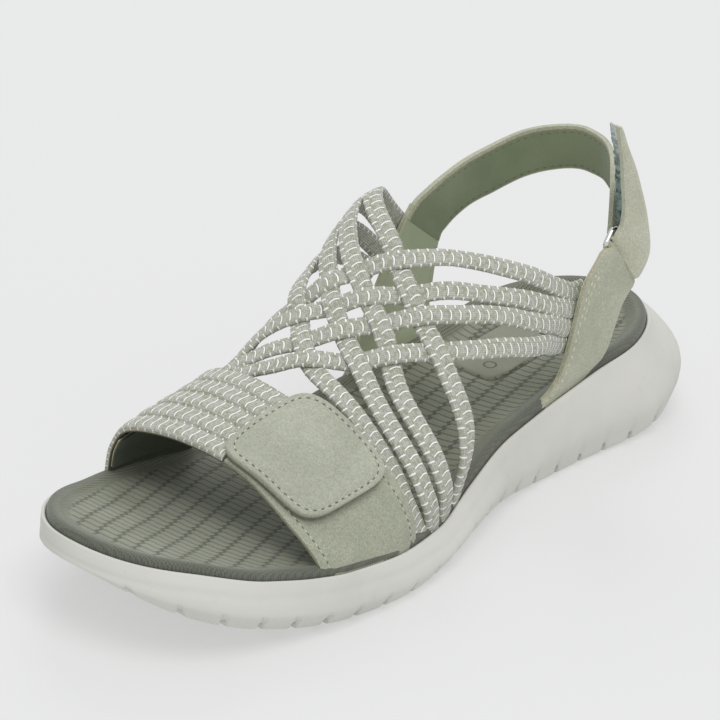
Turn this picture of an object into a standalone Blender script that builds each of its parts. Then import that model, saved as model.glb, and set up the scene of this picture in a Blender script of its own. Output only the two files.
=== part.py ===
"""Left orthopedic sandal: foam sole, inset footbed, woven elastic upper, hook tab and heel strap.

Toe towards -Y, heel towards +Y, outer side of the foot +X, ground at z = 0.
Sizes below are in millimetres and are turned into metres when a mesh is made.
"""
import math

import bmesh
import bpy
import numpy as np

for old in list(bpy.data.objects):
    bpy.data.objects.remove(old, do_unlink=True)

MM = 0.001

# Driving sizes of the sole
LENGTH = 252.0
BALL_WIDTH = 90.0
RIM_HEIGHT = 31.6
TOE_SPRING = 17.0
HEEL_LIFT = 8.5
ARCH_LIFT = 4.3
LIP = 1.2
BASIN_DEPTH = 8.5
TREAD_BEVEL = 2.2
GROOVE_PITCH = 11.5
GROOVE_WIDTH = 3.8
GROOVE_HEIGHT = 4.0
TOE_LAND = 2.6
BULGE = 8.5

# Driving sizes of the footbed
FOOTBED_ROLL = 2.4
FOOTBED_CUP = 4.0

# Driving sizes of the upper
INSTEP_RISE = 64.0
CLEARANCE = 0.3
TUCK = 6.0
ELASTIC_WIDTH = 5.8
ELASTIC_THICK = 2.2
WEAVE_LIFT = 0.95
STRIP_GROOVE = 0.9
LEATHER_THICK = 1.8
LINING_THICK = 1.2
TAB_THICK = 2.6
QUARTER_THICK = 2.0
HEEL_STRAP_THICK = 2.2
HOOK_THICK = 2.4

# Driving sizes of the ring
RING_WIRE = 2.0
RING_LENGTH = 24.0
RING_DEPTH = 9.5
RING_CORNER = 2.0

# Segments
SIDES_OF_BAND = 8
BAND_STEP = 6.4
RING_SIDES = 8


class Table:
    """Rows under named columns, read smoothly (monotone cubic) between the first column's stations."""

    def __init__(self, columns, *rows):
        self.names = columns.split()
        self.rows = np.array(rows, float)
        gaps = np.diff(self.rows[:, 0])[:, None]
        rises = np.diff(self.rows, axis=0) / gaps
        both = rises[:-1] + rises[1:]
        safe = np.where(np.abs(both) > 1e-12, both, 1.0)
        mean = 2 * rises[:-1] * rises[1:] / safe
        inner = np.where(rises[:-1] * rises[1:] > 0, mean, 0.0)
        self.slopes = np.vstack([rises[:1], inner, rises[-1:]])

    def row(self, at):
        stations = self.rows[:, 0]
        at = min(max(at, stations[0]), stations[-1])
        i = min(int(np.searchsorted(stations, at, side="right")) - 1, len(stations) - 2)
        span = stations[i + 1] - stations[i]
        f = (at - stations[i]) / span
        here = self.rows[i] * (1 + 2 * f) * (1 - f) ** 2 + self.slopes[i] * span * f * (1 - f) ** 2
        return here + self.rows[i + 1] * f * f * (3 - 2 * f) + self.slopes[i + 1] * span * f * f * (f - 1)

    def get(self, name, at):
        return self.row(at)[self.names.index(name)]


# Plan of the rim: station as a share of LENGTH from the waist, half width and middle as shares
# of half the ball width. The round toe and heel ends are worked out by end_round().
OUTLINE = Table("station half middle",
                (-0.521, 0.729, 0.005),
                (-0.455, 0.781, -0.046),
                (-0.385, 0.876, -0.038),
                (-0.319, 0.975, -0.022),
                (-0.270, 1.012, 0.004),
                (-0.190, 0.998, 0.044),
                (-0.095, 0.915, 0.058),
                (0.000, 0.800, 0.041),
                (0.099, 0.708, 0.019),
                (0.198, 0.672, 0.010),
                (0.298, 0.668, -0.003),
                (0.377, 0.686, -0.003),
                (0.485, 0.680, 0.000))
TOE_END, HEEL_END = OUTLINE.rows[0, 0], OUTLINE.rows[-1, 0]
TOE_ROUND, HEEL_ROUND = 0.142, 0.187
TOE_POWER, HEEL_POWER = 2.29, 2.05
TOE_SWING, TOE_SWING_POWER = -0.153, 3.7

# Height of the rim, how far the side stands out beyond it, and how much more of that is on the
# outer side than on the inner side
SIDE = Table("station rim bulge tread skew",
             (-0.521, 1.000, 0.16, -0.15, 0.20),
             (-0.465, 0.920, 0.22, 0.02, 0.24),
             (-0.377, 0.712, 0.18, -0.12, 0.18),
             (-0.300, 0.590, 0.20, -0.14, 0.08),
             (-0.238, 0.532, 0.26, -0.02, 0.00),
             (-0.170, 0.478, 0.36, 0.16, 0.00),
             (-0.099, 0.462, 0.47, 0.30, 0.00),
             (-0.020, 0.600, 0.49, 0.33, 0.00),
             (0.060, 0.735, 0.38, 0.20, 0.00),
             (0.140, 0.800, 0.31, 0.12, 0.00),
             (0.220, 0.875, 0.42, 0.24, 0.00),
             (0.300, 0.945, 0.68, 0.52, 0.00),
             (0.380, 0.978, 1.20, 0.95, 0.00),
             (0.485, 1.000, 1.48, 1.26, 0.00))
GROOVE_LAST = 0.4147
FLAT_FORE, FLAT_HEEL = -0.222, 0.262
ARCH_AT, ARCH_REACH = 0.008, 0.182

# Rows of the sole's side from the tread edge to the rim: share of the way up, share of the
# bulge (1) or of the tread edge (0) that the row follows
SIDE_ROWS = ((0.37, 1.00), (0.78, 0.46))

# Sections of the foot form from the outer rim over the instep to the inner rim. Each knot has
# a reach (share of the rim's half width there) and a lift (share of INSTEP_RISE over the rim).
FORM = Table("station r1 h1 r2 h2 r3 h3 r4 h4 r5 h5 r6 h6",
             (-0.357, 0.898, 0.058, 0.697, 0.144, 0.268, 0.284, -0.255, 0.312, -0.745, 0.255, -0.905, 0.150),
             (-0.238, 0.886, 0.112, 0.711, 0.245, 0.242, 0.440, -0.281, 0.498, -0.730, 0.432, -0.888, 0.250),
             (-0.139, 0.937, 0.161, 0.764, 0.341, 0.266, 0.536, -0.335, 0.628, -0.792, 0.556, -0.942, 0.300),
             (-0.020, 1.024, 0.250, 0.849, 0.453, 0.268, 0.688, -0.435, 0.859, -0.881, 0.773, -1.003, 0.406),
             (0.079, 1.077, 0.281, 0.938, 0.516, 0.277, 0.812, -0.585, 1.000, -0.969, 0.945, -1.046, 0.484),
             (0.179, 1.033, 0.289, 1.000, 0.523, 0.508, 0.789, -0.475, 0.961, -1.000, 0.805, -1.082, 0.398),
             (0.258, 1.028, 0.302, 1.012, 0.552, 0.595, 0.739, -0.338, 0.833, -0.972, 0.677, -1.072, 0.364))
KNOTS = 7

# Elastic bands: station (share of LENGTH), arch (percent from outer to inner rim), level (share
# of ELASTIC_THICK outwards from the form)
FRONT_BANDS = {
    "a1": ((-0.128, 0, 0), (-0.139, 9, -0.95), (-0.149, 20, -1.10), (-0.148, 30, -1.05),
           (-0.142, 42, -0.1), (-0.131, 52, 0), (-0.095, 60, 0),
           (-0.048, 68, 0), (0.000, 74.5, 0), (0.056, 80, 0.2), (0.119, 85, 0.45)),
    "a2": ((-0.103, 0, 0), (-0.123, 19, 0), (-0.119, 35, 0), (-0.095, 46, 0), (-0.060, 56, 0),
           (-0.020, 64, 0), (0.024, 71, 0), (0.071, 77, 0.2), (0.135, 82.5, 0.45)),
    "a3": ((-0.076, 0, 0), (-0.091, 20, 0), (-0.083, 37, 0), (-0.048, 46, 0), (-0.016, 56, 0),
           (0.016, 63, 0), (0.052, 69, 0), (0.095, 74, 0.2), (0.151, 80, 0.45)),
    "a4": ((-0.049, 0, 0), (-0.036, 15, -0.5), (-0.024, 29, -0.5), (-0.012, 38, -0.1), (0.008, 47, 0),
           (0.034, 53, 0), (0.057, 60, 0), (0.083, 67, 0), (0.120, 73, 0.2), (0.168, 77.5, 0.45)),
}
REAR_BANDS = {
    "b1": ((0.250, 30.5, -2.3), (0.222, 30.5, -2.1), (0.193, 33.5, -0.9), (0.160, 37.5, 0), (0.123, 41, 0), (0.075, 45, 0),
           (0.034, 49, 0), (-0.008, 55, 0), (-0.048, 61, 0), (-0.083, 69, -0.2), (-0.119, 75, -0.9),
           (-0.145, 78, -1.2)),
    "b2": ((0.240, 26.5, -2.2), (0.212, 26.5, -2.0), (0.178, 29.8, -0.8), (0.137, 34, 0), (0.073, 38.5, 0), (0.026, 44, 0),
           (-0.012, 49, 0), (-0.052, 55, 0), (-0.085, 62, 0), (-0.110, 69, -0.2), (-0.145, 73, -1.0),
           (-0.170, 77, -1.2)),
    "b3": ((0.230, 22, -2.1), (0.202, 22.5, -1.9), (0.160, 27, -0.7), (0.108, 32, 0), (0.047, 37, 0), (-0.002, 43, 0),
           (-0.050, 49, 0), (-0.087, 54, 0), (-0.122, 60, 0), (-0.146, 65, -0.7), (-0.170, 70, -1.2),
           (-0.192, 76, -1.2)),
    "b4": ((0.220, 16, -2.1), (0.190, 17.5, -1.9), (0.150, 21.5, -0.7), (0.091, 27, 0), (0.035, 32, 0), (-0.015, 38, 0),
           (-0.055, 43, 0), (-0.100, 49, 0), (-0.130, 54, 0), (-0.153, 59, -0.7), (-0.175, 65, -1.2),
           (-0.212, 75, -1.2)),
}

# Front band and tab: stations of the two long edges, and arch reach, in percent
TOE_BAND = {"front": ((50.5, -0.315), (75, -0.322), (100, -0.325)),
            "rear": ((50.5, -0.166), (75, -0.185), (100, -0.185))}
TOE_STRIPS = 5
BASE_STRAP = {"front": ((0, -0.303), (14, -0.308), (30, -0.312), (47, -0.315)),
              "rear": ((0, -0.146), (30, -0.160), (47, -0.167))}
TAB = {"inner_front": (-0.318, 49.2), "inner_rear": (-0.166, 49.7),
       "outer_front": (-0.300, 27.0), "outer_rear": (-0.163, 28.6)}
TAB_SQUARENESS = 5.0
TAB_FLARE = 1.2
LINING = {"front": -0.3235, "rear": -0.192, "top": 80.0, "foot": 94.0}

# Side panels: height row by row, as a share of INSTEP_RISE over the rim, and side reach as a
# share of the heel's half width, for the front and the rear edge
OUTER_QUARTER = Table("row front_station front_lift rear_station rear_lift reach",
                      (0, 0.149, 0.000, 0.270, 0.000, 0.914),
                      (1, 0.182, 0.069, 0.282, 0.058, 0.965),
                      (2, 0.200, 0.172, 0.292, 0.120, 0.985),
                      (3, 0.214, 0.360, 0.302, 0.223, 0.990),
                      (4, 0.230, 0.564, 0.312, 0.310, 0.988),
                      (5, 0.252, 0.648, 0.326, 0.370, 0.986),
                      (6, 0.264, 0.700, 0.336, 0.400, 0.988))
INNER_QUARTER = Table("row front_station front_lift rear_station rear_lift reach",
                      (0, 0.052, 0.000, 0.210, 0.000, -0.914),
                      (1, 0.075, 0.158, 0.216, 0.133, -0.980),
                      (2, 0.099, 0.334, 0.222, 0.255, -1.000),
                      (3, 0.131, 0.540, 0.227, 0.378, -1.010),
                      (4, 0.157, 0.700, 0.230, 0.470, -1.010),
                      (5, 0.175, 0.780, 0.233, 0.505, -1.010))

# Heel strap from the inner panel round the heel to the ring: upper and lower edge
HEEL_STRAP = Table("row up_station up_reach up_lift low_station low_reach low_lift",
                   (0, 0.1825, -1.010, 0.789, 0.236, -1.010, 0.520),
                   (1, 0.218, -1.000, 0.830, 0.254, -0.993, 0.565),
                   (2, 0.262, -0.977, 0.866, 0.284, -0.960, 0.606),
                   (3, 0.306, -0.900, 0.898, 0.317, -0.883, 0.634),
                   (4, 0.347, -0.733, 0.952, 0.355, -0.717, 0.694),
                   (5, 0.373, -0.467, 0.994, 0.381, -0.450, 0.746),
                   (6, 0.385, -0.133, 1.022, 0.391, -0.133, 0.783),
                   (7, 0.375, 0.200, 1.024, 0.384, 0.200, 0.793),
                   (8, 0.351, 0.467, 1.018, 0.364, 0.433, 0.800),
                   (9, 0.3225, 0.667, 0.988, 0.357, 0.633, 0.745),
                   (10, 0.3045, 0.790, 0.913, 0.359, 0.745, 0.650))
FREE_END = Table("row up_station up_reach up_lift low_station low_reach low_lift",
                 (0, 0.2955, 1.012, 0.803, 0.3575, 1.039, 0.585),
                 (1, 0.2910, 1.032, 0.905, 0.3440, 1.055, 0.738),
                 (2, 0.2830, 1.052, 1.029, 0.3210, 1.068, 0.947),
                 (3, 0.2735, 1.068, 1.153, 0.3000, 1.078, 1.103),
                 (4, 0.2650, 1.082, 1.263, 0.2800, 1.088, 1.235),
                 (5, 0.2540, 1.092, 1.375, 0.2630, 1.095, 1.362))
RING_CENTRE = {"station": 0.3184, "reach": 0.900, "lift": 0.583}
RING_LEAN = math.radians(44.0)
RING_TILT = math.radians(6.0)


def hull(power, share):
    """Half width of a rounded end, from 0 at its tip to 1 at its full width."""
    share = min(max(share, 0.0), 1.0)
    return (1 - (1 - share) ** power) ** (1 / power)


def rim_half(y):
    station = y / LENGTH
    toe = hull(TOE_POWER, (station - TOE_END) / TOE_ROUND)
    heel = hull(HEEL_POWER, (HEEL_END - station) / HEEL_ROUND)
    return OUTLINE.get("half", station) * BALL_WIDTH / 2 * toe * heel


def rim_middle(y):
    station = y / LENGTH
    swing = max(0.0, 1 - (station - TOE_END) / TOE_ROUND) ** TOE_SWING_POWER
    return (OUTLINE.get("middle", station) + TOE_SWING * swing) * BALL_WIDTH / 2


def rim_height(y):
    return SIDE.get("rim", y / LENGTH) * RIM_HEIGHT


def tread_height(y):
    """Height of the tread above the ground: toe spring, arch and heel lift between flat spots."""
    station = y / LENGTH
    fore = max(0.0, (FLAT_FORE - station) / (FLAT_FORE + 0.484))
    back = max(0.0, (station - FLAT_HEEL) / (0.500 - FLAT_HEEL))
    arch = max(0.0, 1 - abs(station - ARCH_AT) / ARCH_REACH)
    return TOE_SPRING * fore ** 2 + HEEL_LIFT * back ** 2 + ARCH_LIFT * math.sin(arch * math.pi / 2) ** 2


HEEL_HALF = rim_half(0.20 * LENGTH)


def rungs(levels):
    """Perimeter points (x, y) and outward normals of the rim: toe tip, outer side, heel tip, inner side."""
    outer = [(rim_middle(y) + rim_half(y), y) for y in levels[1:-1]]
    inner = [(rim_middle(y) - rim_half(y), y) for y in levels[1:-1]]
    toe = (rim_middle(levels[0]), levels[0])
    heel = (rim_middle(levels[-1]), levels[-1])
    points = np.array([toe] + outer + [heel] + inner[::-1])
    along = np.roll(points, -1, axis=0) - np.roll(points, 1, axis=0)
    normals = np.stack([along[:, 1], -along[:, 0]], axis=1)
    return points, normals / np.linalg.norm(normals, axis=1)[:, None]


def partner(i, count):
    """Index of the point across the shoe from point i on a perimeter of count points."""
    return (count - i) % count


def new_object(name, mesh, material, collection, cutter=False):
    mesh.validate()
    thing = bpy.data.objects.new(name, mesh)
    collection.objects.link(thing)
    thing.parent = root
    if cutter:
        thing.hide_render = True
        thing.display_type = "WIRE"
    else:
        thing.data.materials.append(material)
    return thing


def solid(name, verts, faces, material, collection, cutter=False, sharp=50):
    mesh = bpy.data.meshes.new(name)
    mesh.from_pydata([tuple(np.asarray(v, float) * MM) for v in verts], [], faces)
    work = bmesh.new()
    work.from_mesh(mesh)
    bmesh.ops.remove_doubles(work, verts=work.verts, dist=1e-7)
    bmesh.ops.recalc_face_normals(work, faces=work.faces)
    if work.calc_volume(signed=True) < 0:
        bmesh.ops.reverse_faces(work, faces=work.faces)
    work.to_mesh(mesh)
    work.free()
    mesh.shade_smooth()
    mesh.set_sharp_from_angle(angle=math.radians(sharp))
    return new_object(name, mesh, material, collection, cutter)


def paint(name, colour, roughness, metallic=0.0):
    made = bpy.data.materials.new(name)
    made.use_nodes = True
    shader = made.node_tree.nodes["Principled BSDF"]
    shader.inputs["Base Color"].default_value = (*colour, 1.0)
    shader.inputs["Roughness"].default_value = roughness
    shader.inputs["Metallic"].default_value = metallic
    made.diffuse_color = (*colour, 1.0)
    return made


def groove_spots():
    """Centre and half width along Y of each tread groove, at one pitch along the outer edge."""
    spots, y = [], GROOVE_LAST * LENGTH
    while True:
        slope = rim_half(y + 0.5) + rim_middle(y + 0.5) - rim_half(y - 0.5) - rim_middle(y - 0.5)
        share = 1 / math.hypot(1, slope)
        flank = GROOVE_WIDTH / 2 * share
        if y - flank < TOE_END * LENGTH + TOE_LAND:
            return spots[::-1]
        spots.append((y, flank))
        y -= GROOVE_PITCH * share


def make_sole():
    toe, heel = TOE_END * LENGTH, HEEL_END * LENGTH
    levels = [(toe, 0), (toe + 0.2 * TOE_LAND, 0), (toe + 0.7 * TOE_LAND, 0)]
    for centre, flank in groove_spots():
        levels += [(centre - flank, 0), (centre - flank / 2, 1), (centre + flank / 2, 1), (centre + flank, 0)]
    last_land = levels[-1][0]
    levels += [(heel + (last_land - heel) * f ** 2, 0) for f in (0.88, 0.74, 0.60, 0.45, 0.30, 0.15, 0.0)]
    ys = [y for y, _ in levels]
    points, normals = rungs(ys)
    count = len(points)
    cut = [c for _, c in levels]
    cut = cut + cut[-2:0:-1]
    rows = [[] for _ in range(8)]
    for (x, y), (nx, ny), groove in zip(points, normals, cut):
        top, low = rim_height(y), tread_height(y)
        skew = SIDE.get("skew", y / LENGTH) * nx
        tread = (SIDE.get("tread", y / LENGTH) + skew) * BULGE
        bulge = (SIDE.get("bulge", y / LENGTH) + skew) * BULGE
        lift = GROOVE_HEIGHT * groove
        spots = [(tread - TREAD_BEVEL, low + lift), (tread, low + TREAD_BEVEL + 0.65 * lift)]
        for up, follow in SIDE_ROWS:
            reach = bulge if up < 0.5 else bulge * follow
            spots.append((reach, low + (top - low) * up))
        spots += [(0.0, top - 0.35 * LIP), (-0.4 * LIP, top), (-LIP, top - 0.35 * LIP),
                  (-LIP, top - BASIN_DEPTH)]
        for row, (out, z) in zip(rows, spots):
            row.append((x + nx * out, y + ny * out, z))
    verts = [v for row in rows for v in row]
    faces = []
    for r in range(7):
        for i in range(count):
            j = (i + 1) % count
            faces.append((r * count + i, r * count + j, (r + 1) * count + j, (r + 1) * count + i))
    for base, flip in ((0, True), (7 * count, False)):
        for i in range(0, count // 2):
            a, b = i, i + 1
            quad = [base + a, base + b, base + partner(b, count), base + partner(a, count)]
            quad = list(dict.fromkeys(quad))
            faces.append(tuple(quad[::-1] if flip else quad))
    return solid("sole", verts, faces, FOAM, SHOE)


def footbed_levels():
    toe, heel = TOE_END * LENGTH, HEEL_END * LENGTH
    ends = (0.0, 0.004, 0.015, 0.035, 0.06, 0.09, 0.125)
    middle = np.linspace(0.155, 0.86, 25)
    back = (0.895, 0.925, 0.95, 0.97, 0.985, 0.996, 1.0)
    return [toe + (heel - toe) * f for f in (*ends, *middle, *back)]


def footbed_top(x, y):
    """Upper surface of the footbed inside its rolled edge: cupped, deepest at the heel."""
    half = max(rim_half(y), 1.0)
    across = min(abs(x - rim_middle(y)) / half, 1.0)
    station = y / LENGTH
    cup = FOOTBED_CUP * (0.55 + 0.45 * math.tanh((station - 0.18) * 9))
    near_tip = min(1.0, half / (0.3 * BALL_WIDTH))
    return rim_height(y) + FOOTBED_ROLL * 0.4 - cup * near_tip * (1 - across ** 3)


def make_footbed():
    inset = LIP + CLEARANCE
    levels = footbed_levels()
    points, normals = rungs(levels)
    count = len(points)
    floor_gap = BASIN_DEPTH - CLEARANCE
    spots = ((inset, -floor_gap), (inset, 0.2 * FOOTBED_ROLL), (inset + 0.9, 0.85 * FOOTBED_ROLL),
             (inset + 2.4, FOOTBED_ROLL), (inset + 4.4, 0.7 * FOOTBED_ROLL))
    rows = []
    for back, z in spots:
        rows.append([(x - nx * back, y - ny * back, rim_height(y) + z)
                     for (x, y), (nx, ny) in zip(points, normals)])
    verts = [v for row in rows for v in row]
    faces = []
    for r in range(len(spots) - 1):
        for i in range(count):
            j = (i + 1) % count
            faces.append((r * count + i, r * count + j, (r + 1) * count + j, (r + 1) * count + i))
    for i in range(0, count // 2):
        a, b = i, i + 1
        quad = list(dict.fromkeys([a, b, partner(b, count), partner(a, count)]))
        faces.append(tuple(quad[::-1]))
    edge = rows[-1]
    base = (len(spots) - 1) * count
    shares = (0.10, 0.28, 0.5, 0.72, 0.90)
    lines = []
    for i in range(0, count // 2 + 1):
        p, q = np.array(edge[i]), np.array(edge[partner(i, count)])
        line = [base + i]
        if i not in (0, count // 2):
            for f in shares:
                spot = p + (q - p) * f
                spot[2] = footbed_top(spot[0], spot[1])
                verts.append(tuple(spot))
                line.append(len(verts) - 1)
            line.append(base + partner(i, count))
        lines.append(line)
    for here, there in zip(lines[:-1], lines[1:]):
        if len(here) == 1 or len(there) == 1:
            tip, fan = (here[0], there) if len(here) == 1 else (there[0], here)
            for a, b in zip(fan[:-1], fan[1:]):
                faces.append((tip, a, b))
        else:
            for k in range(len(here) - 1):
                faces.append((here[k], there[k], there[k + 1], here[k + 1]))
    return solid("footbed", verts, faces, FOOTBED, SHOE)


def slot(name, side, front, rear, thick, flare):
    """Cutter for the slot beside the lip that the lower edge of a strap or panel goes into."""
    steps = max(2, int(round((rear - front) * LENGTH / 8)))
    near, far, deep = 0.5 * LIP, LIP + 2 * CLEARANCE + thick, TUCK + 4 * CLEARANCE
    section = ((near, -deep), (far, -deep), (far, -0.5), (far + flare, 2.5), (far + flare, 10.0), (near, 10.0))
    n = len(section)
    verts = []
    for f in np.linspace(front, rear, steps + 1):
        y = f * LENGTH
        slope = (rim_half(y + 1) - rim_half(y - 1) + side * (rim_middle(y + 1) - rim_middle(y - 1))) / 2
        size = math.hypot(1, slope)
        for back, z in section:
            x = rim_middle(y) + side * (rim_half(y) - back / size)
            verts.append((x, y + back * slope / size, rim_height(y) + z))
    faces = [tuple(range(n)), tuple(n * steps + i for i in reversed(range(n)))]
    for s in range(steps):
        for i in range(n):
            j = (i + 1) % n
            faces.append((n * s + i, n * s + j, n * s + n + j, n * s + n + i))
    return solid(name, verts, faces, None, CUTTERS, cutter=True)


def form(y, arch, thick=ELASTIC_THICK):
    """Point of the foot form; arch runs in percent from the outer rim (0) to the inner rim (100).

    Below 0 and above 100 it goes straight down inside the lip, by TUCK for every 5 percent.
    """
    row = FORM.row(y / LENGTH)[1:]
    half, middle, top = rim_half(y), rim_middle(y), rim_height(y)
    inset = LIP + CLEARANCE + thick / 2
    knots = [(middle + half - inset, top)]
    knots += [(middle + row[i] * half, top + row[i + 1] * INSTEP_RISE) for i in range(0, 12, 2)]
    knots.append((middle - half + inset, top))
    if arch <= 0 or arch >= 100:
        x, z = knots[0] if arch <= 0 else knots[-1]
        deep = -arch if arch <= 0 else arch - 100
        return np.array([x, y, z - deep * TUCK / 5])
    knots = np.array(knots)
    place = arch / 100 * KNOTS
    i = min(int(place), KNOTS - 1)
    f = place - i
    p1, p2 = knots[i], knots[i + 1]
    p0 = knots[i - 1] if i > 0 else p1
    p3 = knots[i + 2] if i + 2 <= KNOTS else p2
    x, z = 0.5 * (2 * p1 + (p2 - p0) * f + (2 * p0 - 5 * p1 + 4 * p2 - p3) * f * f
                  + (3 * p1 - p0 - 3 * p2 + p3) * f ** 3)
    return np.array([x, y, z])


def form_normal(y, arch):
    """Outward direction of the foot form."""
    if arch <= 0.5 or arch >= 99.5:
        side = 1.0 if arch <= 0.5 else -1.0
        slope = (rim_half(y + 1) - rim_half(y - 1) + side * (rim_middle(y + 1) - rim_middle(y - 1))) / 2
        out = np.array([side, -slope, 0.0])
        return out / np.linalg.norm(out)
    along = form(y + 2, arch) - form(y - 2, arch)
    across = form(y, max(arch - 2, 0.1)) - form(y, min(arch + 2, 99.9))
    out = np.cross(across, along)
    return out / np.linalg.norm(out)


def spline(points, samples):
    """Catmull-Rom curve through rows of numbers, sampled evenly in its parameter."""
    rows = np.array(points, float)
    rows = np.vstack([2 * rows[0] - rows[1], rows, 2 * rows[-1] - rows[-2]])
    made = []
    for t in np.linspace(0, len(points) - 1, samples):
        i = min(int(t), len(points) - 2)
        f = t - i
        p0, p1, p2, p3 = rows[i:i + 4]
        made.append(0.5 * (2 * p1 + (p2 - p0) * f + (2 * p0 - 5 * p1 + 4 * p2 - p3) * f * f
                           + (3 * p1 - p0 - 3 * p2 + p3) * f ** 3))
    return np.array(made)


def band_line(path):
    """Finely sampled centre line of a band on the form: station, arch, level, and points."""
    rows = [(s * LENGTH, a, lev * ELASTIC_THICK) for s, a, lev in path]
    fine = spline(rows, 12 * len(rows))
    if path[0][1] == 0:
        down = [(rows[0][0], a, 0.0) for a in np.linspace(-5, -0.5, 6)]
        fine = np.vstack([down, fine])
    spots = np.array([form(y, a) for y, a, _ in fine])
    run = np.concatenate([[0], np.cumsum(np.linalg.norm(np.diff(spots, axis=0), axis=1))])
    return {"fine": fine, "spots": spots, "run": run, "over": []}


def cross_levels(lines):
    """Note on each band where it passes over (+1) or under (-1) the bands that cross it."""
    for i in range(1, 5):
        for j in range(1, 5):
            a, b = lines[f"a{i}"], lines[f"b{j}"]
            gaps = np.linalg.norm(a["spots"][:, None] - b["spots"][None], axis=2)
            p, q = np.unravel_index(np.argmin(gaps), gaps.shape)
            a_over = 1 if (i + j) % 2 == 0 else -1
            a["over"].append((a["run"][p], a_over))
            b["over"].append((b["run"][q], -a_over))


def weave_level(line, run):
    spots = sorted(line["over"])
    reach = 2 * ELASTIC_WIDTH
    marks = [(spots[0][0] - reach, 0)] + spots + [(spots[-1][0] + reach, 0)]
    for (r0, v0), (r1, v1) in zip(marks[:-1], marks[1:]):
        if r0 <= run <= r1:
            f = (run - r0) / max(r1 - r0, 1e-6)
            return WEAVE_LIFT * (v0 + (v1 - v0) * f * f * (3 - 2 * f))
    return 0.0


def band_mesh(name, line, collection):
    """Flat oval band along its centre line, lying on the form."""
    total = line["run"][-1]
    steps = int(round(total / BAND_STEP))
    runs = np.linspace(0, total, steps + 1)
    fine = np.stack([np.interp(runs, line["run"], line["fine"][:, k]) for k in range(3)], axis=1)
    centres, normals = [], []
    for run, (y, arch, level) in zip(runs, fine):
        out = form_normal(y, arch)
        centres.append(form(y, arch) + out * (level + weave_level(line, run)))
        normals.append(out)
    centres = np.array(centres)
    verts = []
    for k, (centre, out) in enumerate(zip(centres, normals)):
        ahead = centres[min(k + 1, steps)] - centres[max(k - 1, 0)]
        ahead /= np.linalg.norm(ahead)
        across = np.cross(ahead, out)
        across /= np.linalg.norm(across)
        up = np.cross(across, ahead)
        for s in range(SIDES_OF_BAND):
            turn = 2 * math.pi * s / SIDES_OF_BAND
            c, d = math.cos(turn), math.sin(turn)
            wide = math.copysign(abs(c) ** 0.55, c) * ELASTIC_WIDTH / 2
            high = math.copysign(abs(d) ** 0.85, d) * ELASTIC_THICK / 2
            verts.append(centre + across * wide + up * high)
    n = SIDES_OF_BAND
    faces = [tuple(range(n))[::-1], tuple(steps * n + i for i in range(n))]
    for k in range(steps):
        for i in range(n):
            j = (i + 1) % n
            faces.append((k * n + i, k * n + j, (k + 1) * n + j, (k + 1) * n + i))
    return solid(name, verts, faces, ELASTIC, collection, cutter=collection is CUTTERS, sharp=60)


def make_weave():
    lines = {name: band_line(path) for name, path in {**FRONT_BANDS, **REAR_BANDS}.items()}
    cross_levels(lines)
    first, *others = lines
    weave = band_mesh("weave", lines[first], SHOE)
    for name in others:
        other = band_mesh(f"band_{name}", lines[name], CUTTERS)
        join = weave.modifiers.new(f"join_{name}", "BOOLEAN")
        join.operation = "UNION"
        join.object = other
    return weave


def shell(name, grid, outer, inner, material, sharp=50, collection=None):
    """Closed sheet from a grid of (point, normal) with the offsets of its two faces."""
    m, n = len(grid), len(grid[0])
    verts = []
    for offset in (outer, inner):
        for i, row in enumerate(grid):
            for j, (point, out) in enumerate(row):
                verts.append(point + out * offset(i / (m - 1), j / (n - 1)))
    faces = []

    def at(layer, i, j):
        return layer * m * n + i * n + j

    for i in range(m - 1):
        for j in range(n - 1):
            faces.append((at(0, i, j), at(0, i, j + 1), at(0, i + 1, j + 1), at(0, i + 1, j)))
            faces.append((at(1, i, j), at(1, i + 1, j), at(1, i + 1, j + 1), at(1, i, j + 1)))
    for i in range(m - 1):
        faces.append((at(0, i, 0), at(0, i + 1, 0), at(1, i + 1, 0), at(1, i, 0)))
        faces.append((at(0, i + 1, n - 1), at(0, i, n - 1), at(1, i, n - 1), at(1, i + 1, n - 1)))
    for j in range(n - 1):
        faces.append((at(0, 0, j + 1), at(0, 0, j), at(1, 0, j), at(1, 0, j + 1)))
        faces.append((at(0, m - 1, j), at(0, m - 1, j + 1), at(1, m - 1, j + 1), at(1, m - 1, j)))
    return solid(name, verts, faces, material, collection or SHOE, sharp=sharp)


def form_grid(edges, arches, shares, thick):
    """Grid on the form between a front and a rear edge, each a list of (arch, station)."""
    front = Table("arch station", *edges["front"])
    rear = Table("arch station", *edges["rear"])
    grid = []
    for arch in arches:
        y0, y1 = front.get("station", arch) * LENGTH, rear.get("station", arch) * LENGTH
        grid.append([(form(y0 + (y1 - y0) * f, arch, thick), form_normal(y0 + (y1 - y0) * f, arch))
                     for f in shares])
    return grid


def make_toe_band():
    """Five elastic strips sewn side by side into one wall, each raised in its middle."""
    gap = CLEARANCE / LENGTH * 100
    arches = [50.5 + gap, 54, 58, 62, 66, 70, 74, 78, 82, 86, 90, 94, 97.5, 100, 102.5, 105]
    shares, raised = [0.0], [0.35]
    for k in range(TOE_STRIPS):
        for part, height in ((0.22, 1.0), (0.78, 1.0), (1.0, 0.0)):
            shares.append((k + part) / TOE_STRIPS)
            raised.append(height)
    raised[-1] = 0.35
    grid = form_grid(TOE_BAND, arches, shares, ELASTIC_THICK)

    def outer(along, across):
        return ELASTIC_THICK / 2 - STRIP_GROOVE * (1 - raised[round(across * (len(shares) - 1))])

    return shell("toe_band", grid, outer, lambda a, b: -ELASTIC_THICK / 2, ELASTIC, sharp=60)


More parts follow.
